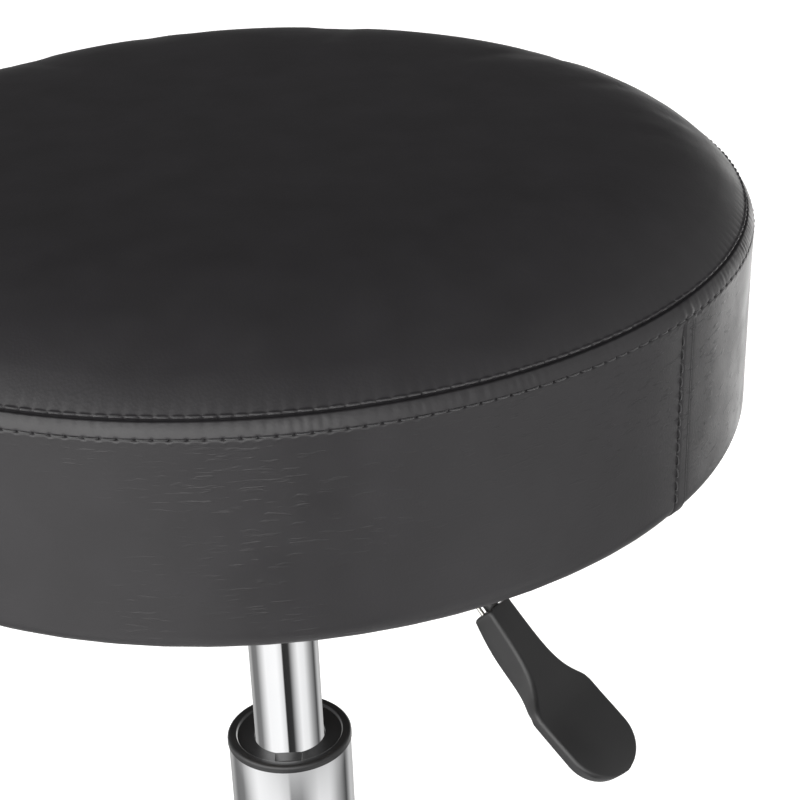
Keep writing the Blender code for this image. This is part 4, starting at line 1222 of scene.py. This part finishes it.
def base_arm_mesh(hub_radius, root_low, end_low, hub_low):
    """One pressed arm along +X: arched above, a channel below, a boss over the caster's stem."""
    root = hub_radius - ARM_INTO_HUB
    rings = []
    for share in np.linspace(0, 1, 26):
        x = root + (BASE_RADIUS - root) * share
        half = ARM_ROOT[0] + (ARM_END[0] - ARM_ROOT[0]) * share
        height = ARM_ROOT[1] + (ARM_END[1] - ARM_ROOT[1]) * share
        low = root_low + (end_low - root_low) * share**1.4
        shoulder = low + 0.45 * height
        channel = CHANNEL_DEPTH * smooth(share, 0.12, 0.2) * (1 - smooth(share, 0.84, 0.92))
        ring = [
            (x, half - 0.5 * MM, low), (x, half, low + 0.6 * MM), (x, half, low + 0.3 * height)
        ]
        for a in np.linspace(0, math.pi, 19):
            ring.append((x, half * math.cos(a), shoulder + 0.55 * height * math.sin(a)))
        ring += [
            (x, -half, low + 0.3 * height),
            (x, -half, low + 0.6 * MM),
            (x, 0.5 * MM - half, low),
        ]
        wall = half - 2.2 * MM
        ring += [(x, -wall, low), (x, 0.8 * MM - wall, low + channel)]
        ring += [(x, wall - 0.8 * MM, low + channel), (x, wall, low)]
        rings.append(ring)
    arm = skinned("arm", rings)
    top = end_low + ARM_END[1] + 0.3 * MM
    corners = [
        (NEAR_AXIS, end_low, 0),
        (BOSS_RADIUS, end_low, 0.8 * MM),
        (BOSS_RADIUS, top - 1.6 * MM, 3.0 * MM),
        (BOSS_RADIUS - 3.6 * MM, top, 2.0 * MM),
        (NEAR_AXIS, top, 0),
    ]
    boss = turned("boss", corners, 60)
    boss.transform(Matrix.Translation((BASE_RADIUS, 0, 0)))
    arm = combined(arm, boss, "UNION")
    hub = turned(
        "hub_space",
        [(NEAR_AXIS, 0, 0), (hub_radius + 0.3 * MM, 0, 0), (hub_radius + 0.3 * MM, 0.3, 0), (NEAR_AXIS, 0.3, 0)],
        96,
    )
    arm = combined(arm, hub)
    hole = turned(
        "stem_hole",
        [(NEAR_AXIS, 0, 0), (STEM_HOLE, 0, 0), (STEM_HOLE, end_low + 21 * MM, 0), (NEAR_AXIS, end_low + 21 * MM, 0)],
        36,
    )
    hole.transform(Matrix.Translation((BASE_RADIUS, 0, 0)))
    arm = combined(arm, hole)
    arm.materials.clear()
    return arm


def placed(mesh, matrix):
    copy = mesh.copy()
    copy.transform(matrix)
    return copy


def base():
    points = points_of("base_hub")
    radius = np.hypot(points[:, 0], points[:, 1])
    low, high = points[:, 2].min(), points[:, 2].max()
    inner, outer = radius.min(), radius.max()
    corners = [
        (inner, low, 0.4 * MM),
        (outer, low, 1.5 * MM),
        (outer, high - 2.0 * MM, 2.2 * MM),
        (outer - 3.0 * MM, high, 2.0 * MM),
        (inner + 2.6 * MM, high, 0.4 * MM),
        (inner + 2.2 * MM, high - 0.9 * MM, 0.4 * MM),
        (inner, high - 0.9 * MM, 0.3 * MM),
    ]
    piece("hub_body", turned("hub", corners, 128), CHROME, "base", ["base_hub"])
    arm_points = points_of("base_arm_1")
    reach = np.hypot(arm_points[:, 0], arm_points[:, 1])
    end_low = arm_points[reach > BASE_RADIUS][:, 2].min()
    root_low = arm_points[reach < outer + 2 * MM][:, 2].min()
    arm = base_arm_mesh(outer, root_low, end_low, low)
    for n in range(1, 6):
        at = joint_place("caster_%d_swivel" % n)
        turn = Matrix.Rotation(math.atan2(at.y, at.x), 4, "Z")
        name = "base_arm_%d" % n
        piece(name + "_pressing", placed(arm, turn), CHROME, "base", [name])


# Casters, in axes with +X from the stem to the axle

TRAIL = 20 * MM
WHEEL_RADIUS = 25 * MM
WHEEL_WIDTH = 11 * MM
WEB_HALF_WIDTH = 8 * MM
FENDER_INNER = 26.5 * MM
FENDER_OUTER = 28.5 * MM
FENDER_FROM = math.radians(10)
FENDER_TO = math.radians(150)
HEAD_HALF_LENGTH = 9 * MM
FLANGE_THICKNESS = 3.5 * MM
FLANGE_RADIUS = 8.5 * MM
STEM_RADIUS = 5.5 * MM
STEM_INSERT = 21 * MM
PIVOT_RADIUS = 4 * MM
PIVOT_DEPTH = 20 * MM
AXLE_RADIUS = 3 * MM


def arc_points(centre, radius, first, last, steps):
    angles = [first + (last - first) * i / steps for i in range(steps + 1)]
    return [
        (centre[0] + radius * math.cos(a), centre[1] + radius * math.sin(a)) for a in angles
    ]


def caster_hood_mesh(top):
    """The moulded hood: a thin fender over both wheels, on a web that holds the pivot and axle."""
    axle = (TRAIL, WHEEL_RADIUS)
    half = WEB_HALF_WIDTH + WHEEL_WIDTH + 0.6 * MM
    arch = arc_points(axle, FENDER_OUTER, FENDER_FROM, FENDER_TO, 44)
    arch += arc_points(axle, FENDER_INNER, FENDER_TO, FENDER_FROM, 44)
    hood = extruded("hood", arch, -half, half, 0.6 * MM)
    head = top - FLANGE_THICKNESS - 0.3 * MM
    reach = (FENDER_INNER + FENDER_OUTER) / 2
    front = math.atan2(head - axle[1], HEAD_HALF_LENGTH - axle[0])
    web = [(-HEAD_HALF_LENGTH, head - 3 * MM), (2 * MM - HEAD_HALF_LENGTH, head - 0.8 * MM)]
    web += [(3 * MM - HEAD_HALF_LENGTH, head), (HEAD_HALF_LENGTH, head)]
    web += arc_points(axle, reach, front - 0.1, FENDER_FROM + 0.03, 26)
    web += arc_points(axle, WHEEL_RADIUS * 0.6, -0.4, 0.6 - math.pi, 24)
    hood = combined(
        hood, extruded("web", web, -WEB_HALF_WIDTH, WEB_HALF_WIDTH, 0.8 * MM), "UNION"
    )
    lying = Matrix.Translation((TRAIL, 0, WHEEL_RADIUS)) @ Matrix.Rotation(math.pi / 2, 4, "X")
    hole = disc_mesh(AXLE_RADIUS + 0.3 * MM, -20 * MM, 20 * MM, 32)
    hood = combined(hood, placed(hole, lying))
    hood = combined(
        hood, disc_mesh(PIVOT_RADIUS + 0.4 * MM, head - PIVOT_DEPTH - 0.3 * MM, head + MM, 32)
    )
    hood.materials.clear()
    return hood


def disc_mesh(radius, low, high, sides=32):
    ring = [(radius * math.cos(math.tau * i / sides), radius * math.sin(math.tau * i / sides)) for i in range(sides)]
    return skinned("disc", [[(x, y, z) for x, y in ring] for z in (low, high)])


def wheel_mesh_y():
    """A wheel on the Y axis with its inner face at 0: plain tread, rounded shoulders, ringed cap."""
    r, w = WHEEL_RADIUS, WHEEL_WIDTH
    corners = [
        (AXLE_RADIUS + 0.4 * MM, 0, 0.2 * MM),
        (r - 1.4 * MM, 0, 0.4 * MM),
        (r, 1.6 * MM, 1.4 * MM),
        (r, w - 2.6 * MM, 2.2 * MM),
        (r - 2.2 * MM, w, 1.2 * MM),
        (r - 3.4 * MM, w, 0.3 * MM),
        (r - 3.6 * MM, w - 0.9 * MM, 0.2 * MM),
        (r - 4.2 * MM, w - 0.9 * MM, 0.2 * MM),
        (r - 4.5 * MM, w - 0.1 * MM, 0.4 * MM),
        (r - 6.0 * MM, w - 0.2 * MM, 0.6 * MM),
        (r - 7.5 * MM, w - 2.0 * MM, 0.8 * MM),
        (9.5 * MM, w - 2.0 * MM, 0.8 * MM),
        (8.6 * MM, w - 1.1 * MM, 0.5 * MM),
        (AXLE_RADIUS + 1.4 * MM, w - 1.1 * MM, 0.4 * MM),
        (AXLE_RADIUS + 0.4 * MM, w - 2.0 * MM, 0.2 * MM),
    ]
    mesh = turned("wheel", corners, 72, 3)
    mesh.transform(Matrix.Rotation(-math.pi / 2, 4, "X"))
    return mesh


def casters():
    top = (
        min(p[2] for p in points_of("base_arm_1") if math.hypot(p[0], p[1]) > BASE_RADIUS) - 0.3 * MM
    )
    hood = caster_hood_mesh(top)
    wheel = wheel_mesh_y()
    head = top - FLANGE_THICKNESS - 0.3 * MM
    stem = turned("stem", [
        (NEAR_AXIS, head - PIVOT_DEPTH, 0),
        (PIVOT_RADIUS, head - PIVOT_DEPTH, 0.4 * MM),
        (PIVOT_RADIUS, top - FLANGE_THICKNESS, 0.1 * MM),
        (FLANGE_RADIUS, top - FLANGE_THICKNESS, 0.5 * MM),
        (FLANGE_RADIUS, top - 1.9 * MM, 0.3 * MM),
        (FLANGE_RADIUS - 0.6 * MM, top - 1.75 * MM, 0.1 * MM),
        (FLANGE_RADIUS, top - 1.6 * MM, 0.3 * MM),
        (FLANGE_RADIUS, top, 0.5 * MM),
        (STEM_RADIUS, top, 0.1 * MM),
        (STEM_RADIUS, top + STEM_INSERT, 0.8 * MM),
        (NEAR_AXIS, top + STEM_INSERT, 0),
    ], 48)
    half = WEB_HALF_WIDTH + 0.3 * MM + WHEEL_WIDTH - 3 * MM
    axle = turned("axle", [
        (NEAR_AXIS, -half, 0),
        (AXLE_RADIUS, -half, 0.4 * MM),
        (AXLE_RADIUS, half, 0.4 * MM),
        (NEAR_AXIS, half, 0),
    ], 32)
    axle.transform(Matrix.Rotation(math.pi / 2, 4, "X"))
    for n in range(1, 6):
        key = "caster_%d" % n
        pivot = joint_place(key + "_swivel")
        hub = joint_place(key + "_left_roll")
        turn = Matrix.Rotation(math.atan2(hub.y - pivot.y, hub.x - pivot.x), 4, "Z")
        standing = Matrix.Translation((pivot.x, pivot.y, 0)) @ turn
        rolling = Matrix.Translation(hub) @ turn
        piece(
            key + "_stem_turned",
            placed(stem, standing),
            STEEL,
            "base",
            [key + "_stem"],
        )
        piece(
            key + "_hood",
            placed(hood, standing),
            HOOD_PLASTIC,
            key,
            [key + "_body"],
        )
        piece(key + "_axle_pin", placed(axle, rolling), STEEL, key, [key + "_axle"])
        face = WEB_HALF_WIDTH + 0.3 * MM
        left = placed(wheel, rolling @ Matrix.Translation((0, face, 0)))
        right = placed(
            wheel, rolling @ Matrix.Rotation(math.pi, 4, "Z") @ Matrix.Translation((0, face, 0))
        )
        piece(
            key + "_left_wheel", left, TREAD, key + "_left", [key + "_wheel_a"]
        )
        piece(
            key + "_right_wheel",
            right,
            TREAD,
            key + "_right",
            [key + "_wheel_b"],
        )


# Underside: dust cover and staples


def dust_cover():
    """The black cloth stapled over the wrap, a little slack between its staples."""
    points = points_of("dust_cover")
    radius = np.hypot(points[:, 0], points[:, 1])
    low, high = points[:, 2].min(), points[:, 2].max()
    outer, inner = radius.max() - 0.3 * MM, radius.min()
    columns = 240
    angles = np.arange(columns) * math.tau / columns
    distances = (
        list(np.linspace(inner, outer - 14 * MM, 14)) + list(np.linspace(outer - 12.5 * MM, outer, 12))
    )
    under, over = [], []
    for distance in distances:
        edge = smooth(distance, outer - 34 * MM, outer - 6 * MM)
        hem = 0.35 * MM * smooth(distance, outer - 10.5 * MM, outer - 9.5 * MM)
        pleat = 0.28 * MM * edge * np.sin(angles * STAPLES + waves(angles, range(2, 7), 51))
        slack = 0.22 * MM * waves(angles + distance * 9, range(2, 12), 52)
        sink = np.clip(0.32 * MM + pleat + slack - hem * 0.6, 0, 0.9 * MM)
        reach = (
            distance + (0.5 * MM * waves(angles, range(20, 60, 7), 53) - 0.6 * MM) * (distance > outer - MM)
        )
        x, y = reach * np.cos(angles), reach * np.sin(angles)
        under.append(np.stack([x, y, low + sink * 0.8], 1))
        over.append(np.stack([x, y, np.full(columns, high)], 1))
    mesh = skinned("dust_cover", under + over[::-1], loop=True)
    cover = piece(
        "dust_cover_cloth", mesh, CLOTH, "seat", ["dust_cover"], sharp=70
    )
    flat = 2 * reach_of("dust_cover")
    return low, outer


STAPLES = 40


def staples(low, outer):
    """Staples through the dust cover's hem, driven a little unevenly."""
    draw = np.random.default_rng(61)
    solids = []
    for k in range(STAPLES):
        a = math.tau * (k + 0.5 + draw.normal(0, 0.08)) / STAPLES
        middle = (
            Vector((math.cos(a), math.sin(a), 0)) * float(outer - 5.2 * MM + draw.normal(0, 0.7 * MM))
        )
        lean = a + math.pi / 2 + draw.normal(0, 0.12)
        along = Vector((math.cos(lean), math.sin(lean), 0)) * 5 * MM
        level = low - 0.05 * MM
        shape = [(-1.0, 1.6), (-1.0, 0.3), (-0.93, 0), (0.93, 0), (1.0, 0.3), (1.0, 1.6)]
        path = [middle + along * x + UP * float(level + z * MM) for x, z in shape]
        solids.append(tube_rings(path, 0.32 * MM, 8))
    piece("staples", gathered("staples", solids), STEEL, "seat")


# Build the rest

gas_spring()
column_and_collar()
base()
casters()
mounting()
hidden_parts()
lever_rod()
lever_wire()
lever_handle()
staples(*dust_cover())


# Floor, light and camera

CAMERA_PLACE = Vector((0.0, -0.6737, 0.8022))
CAMERA_FORWARD = Vector((0.0671, 0.8926, -0.4459))
CAMERA_RIGHT = Vector((0.9951, -0.0926, -0.0358))
TOWARD_CAMERA = Vector((-CAMERA_FORWARD.x, -CAMERA_FORWARD.y, 0)).normalized()
TOWARD_RIGHT = Vector((CAMERA_RIGHT.x, CAMERA_RIGHT.y, 0)).normalized()


def floor():
    """A large pale floor, faintly mottled, that polished pieces do not show."""
    half = 6.0
    mesh = bpy.data.meshes.new("floor")
    corners = [(-half, -half, 0), (half, -half, 0), (half, half, 0), (-half, half, 0)]
    mesh.from_pydata(corners, [], [(0, 1, 2, 3)])
    look = Look("pale_floor", Specular_IOR_Level=0.1)
    look.colour(look.noise(3, 3), (0.86, 0.86, 0.86), (0.90, 0.90, 0.90))
    look.roughness(look.noise(20, 2), 0.7, 0.8)
    look.shader.inputs["Emission Color"].default_value = (1, 1, 1, 1)
    look.shader.inputs["Emission Strength"].default_value = 0.65
    mesh.materials.append(look.material)
    ground = bpy.data.objects.new("floor", mesh)
    bpy.context.scene.collection.objects.link(ground)
    ground.visible_glossy = False


# Brightness of the surroundings by bearing from the camera's side, in degrees to its right.
LOWER_BANDS = [
    (-180, 0.50), (-137, 0.45), (-122, 0.20), (-100, 0.22), (-62, 1.10), (-22, 1.15),
    (-4, 0.85), (0, 0.03), (19, 0.04), (34, 0.60), (50, 1.05), (72, 0.95), (92, 0.45),
    (118, 0.07), (138, 0.60), (180, 0.50),
]
SIDE_BANDS = [
    (-180, 0.8), (-120, 0.9), (-64, 1.00), (0, 0.62), (70, 0.55), (110, 0.65),
    (132, 1.6), (152, 3.0), (168, 2.0), (180, 0.8),
]
UPPER_BANDS = [
    (-180, 0.07), (-140, 0.08), (-110, 0.3), (-72, 3.4), (-30, 4.0), (5, 3.4),
    (32, 1.15), (80, 0.75), (125, 0.35), (155, 0.10), (180, 0.07),
]
BRIGHTEST = 4.0


def surroundings():
    """Studio walls as bands of light by bearing, with a plain pale backdrop for the camera."""
    world = bpy.data.worlds.new("studio")
    bpy.context.scene.world = world
    world.use_nodes = True
    tree = world.node_tree
    tree.nodes.clear()

    def node(kind, links=(), **values):
        made = tree.nodes.new(kind)
        for name, value in values.items():
            setattr(made, name, value)
        for i, source in links:
            if hasattr(source, "is_output"):
                tree.links.new(source, made.inputs[i])
            else:
                made.inputs[i].default_value = source
        return made

    direction = node("ShaderNodeTexCoord").outputs["Generated"]
    front = node(
        "ShaderNodeVectorMath", [(0, direction), (1, TOWARD_CAMERA)], operation="DOT_PRODUCT"
    )
    right = node(
        "ShaderNodeVectorMath", [(0, direction), (1, TOWARD_RIGHT)], operation="DOT_PRODUCT"
    )
    sides = [(0, right.outputs["Value"]), (1, front.outputs["Value"])]
    bearing = node("ShaderNodeMath", sides, operation="ARCTAN2").outputs[0]
    turn = node(
        "ShaderNodeMath", [(0, bearing), (1, 1 / math.tau), (2, 0.5)], operation="MULTIPLY_ADD"
    )

    def banded(bands):
        ramp = node("ShaderNodeValToRGB", [(0, turn.outputs[0])])
        stops = ramp.color_ramp.elements
        while len(stops) < len(bands):
            stops.new(0.5)
        for stop, (degrees, level) in zip(stops, bands):
            stop.position = degrees / 360 + 0.5
            stop.color = (level / BRIGHTEST, level / BRIGHTEST, level / BRIGHTEST, 1)
        parts = [(0, ramp.outputs["Color"]), (1, BRIGHTEST)]
        scaled = node("ShaderNodeMath", parts, operation="MULTIPLY")
        return scaled.outputs[0]

    height = node("ShaderNodeSeparateXYZ", [(0, direction)]).outputs["Z"]

    def between(low, high, first, second):
        share = node("ShaderNodeMapRange", [(0, height), (1, low), (2, high)]).outputs[0]
        mixed = node("ShaderNodeMix", data_type="FLOAT")
        tree.links.new(share, mixed.inputs[0])
        for socket, source in ((mixed.inputs[2], first), (mixed.inputs[3], second)):
            if isinstance(source, float):
                socket.default_value = source
            else:
                tree.links.new(source, socket)
        return mixed.outputs[0]

    low = between(-0.53, -0.46, banded(LOWER_BANDS), banded(SIDE_BANDS))
    walls = between(-0.16, 0.02, low, banded(UPPER_BANDS))
    whole = between(0.55, 0.75, walls, 0.15)
    lit = node("ShaderNodeBackground", [(1, whole)])
    lit.inputs[0].default_value = (1.0, 0.995, 0.985, 1)
    plain = node("ShaderNodeBackground", [(1, 1.0)])
    plain.inputs[0].default_value = (1, 1, 1, 1)
    seen = node("ShaderNodeLightPath").outputs["Is Camera Ray"]
    mixed = node("ShaderNodeMixShader", [(0, seen), (1, lit.outputs[0]), (2, plain.outputs[0])])
    node("ShaderNodeOutputWorld", [(0, mixed.outputs[0])])


def soft_light(name, place, size, power, aim=(0, 0, 0.45)):
    data = bpy.data.lights.new(name, "AREA")
    data.shape = "DISK"
    data.size = size
    data.energy = power
    light = bpy.data.objects.new(name, data)
    bpy.context.scene.collection.objects.link(light)
    light.location = place
    light.rotation_euler = (Vector(aim) - Vector(place)).to_track_quat("-Z", "Y").to_euler()
    light.visible_glossy = False


def camera():
    data = bpy.data.cameras.new("camera")
    data.lens = 90
    data.sensor_width = 36
    data.clip_start = 0.05
    data.clip_end = 50
    made = bpy.data.objects.new("camera", data)
    bpy.context.scene.collection.objects.link(made)
    back = -CAMERA_FORWARD.normalized()
    side = CAMERA_RIGHT.normalized()
    turn = Matrix((side, back.cross(side), back)).transposed()
    made.matrix_world = Matrix.Translation(CAMERA_PLACE) @ turn.to_4x4()
    bpy.context.scene.camera = made


for name in ("Cube", "Light", "Camera"):
    if name in bpy.data.objects:
        bpy.data.objects.remove(bpy.data.objects[name])
floor()
surroundings()
soft_light("overhead", (0.3, 0.2, 2.6), 2.2, 12)
camera()
bpy.context.scene.view_settings.view_transform = "Standard"
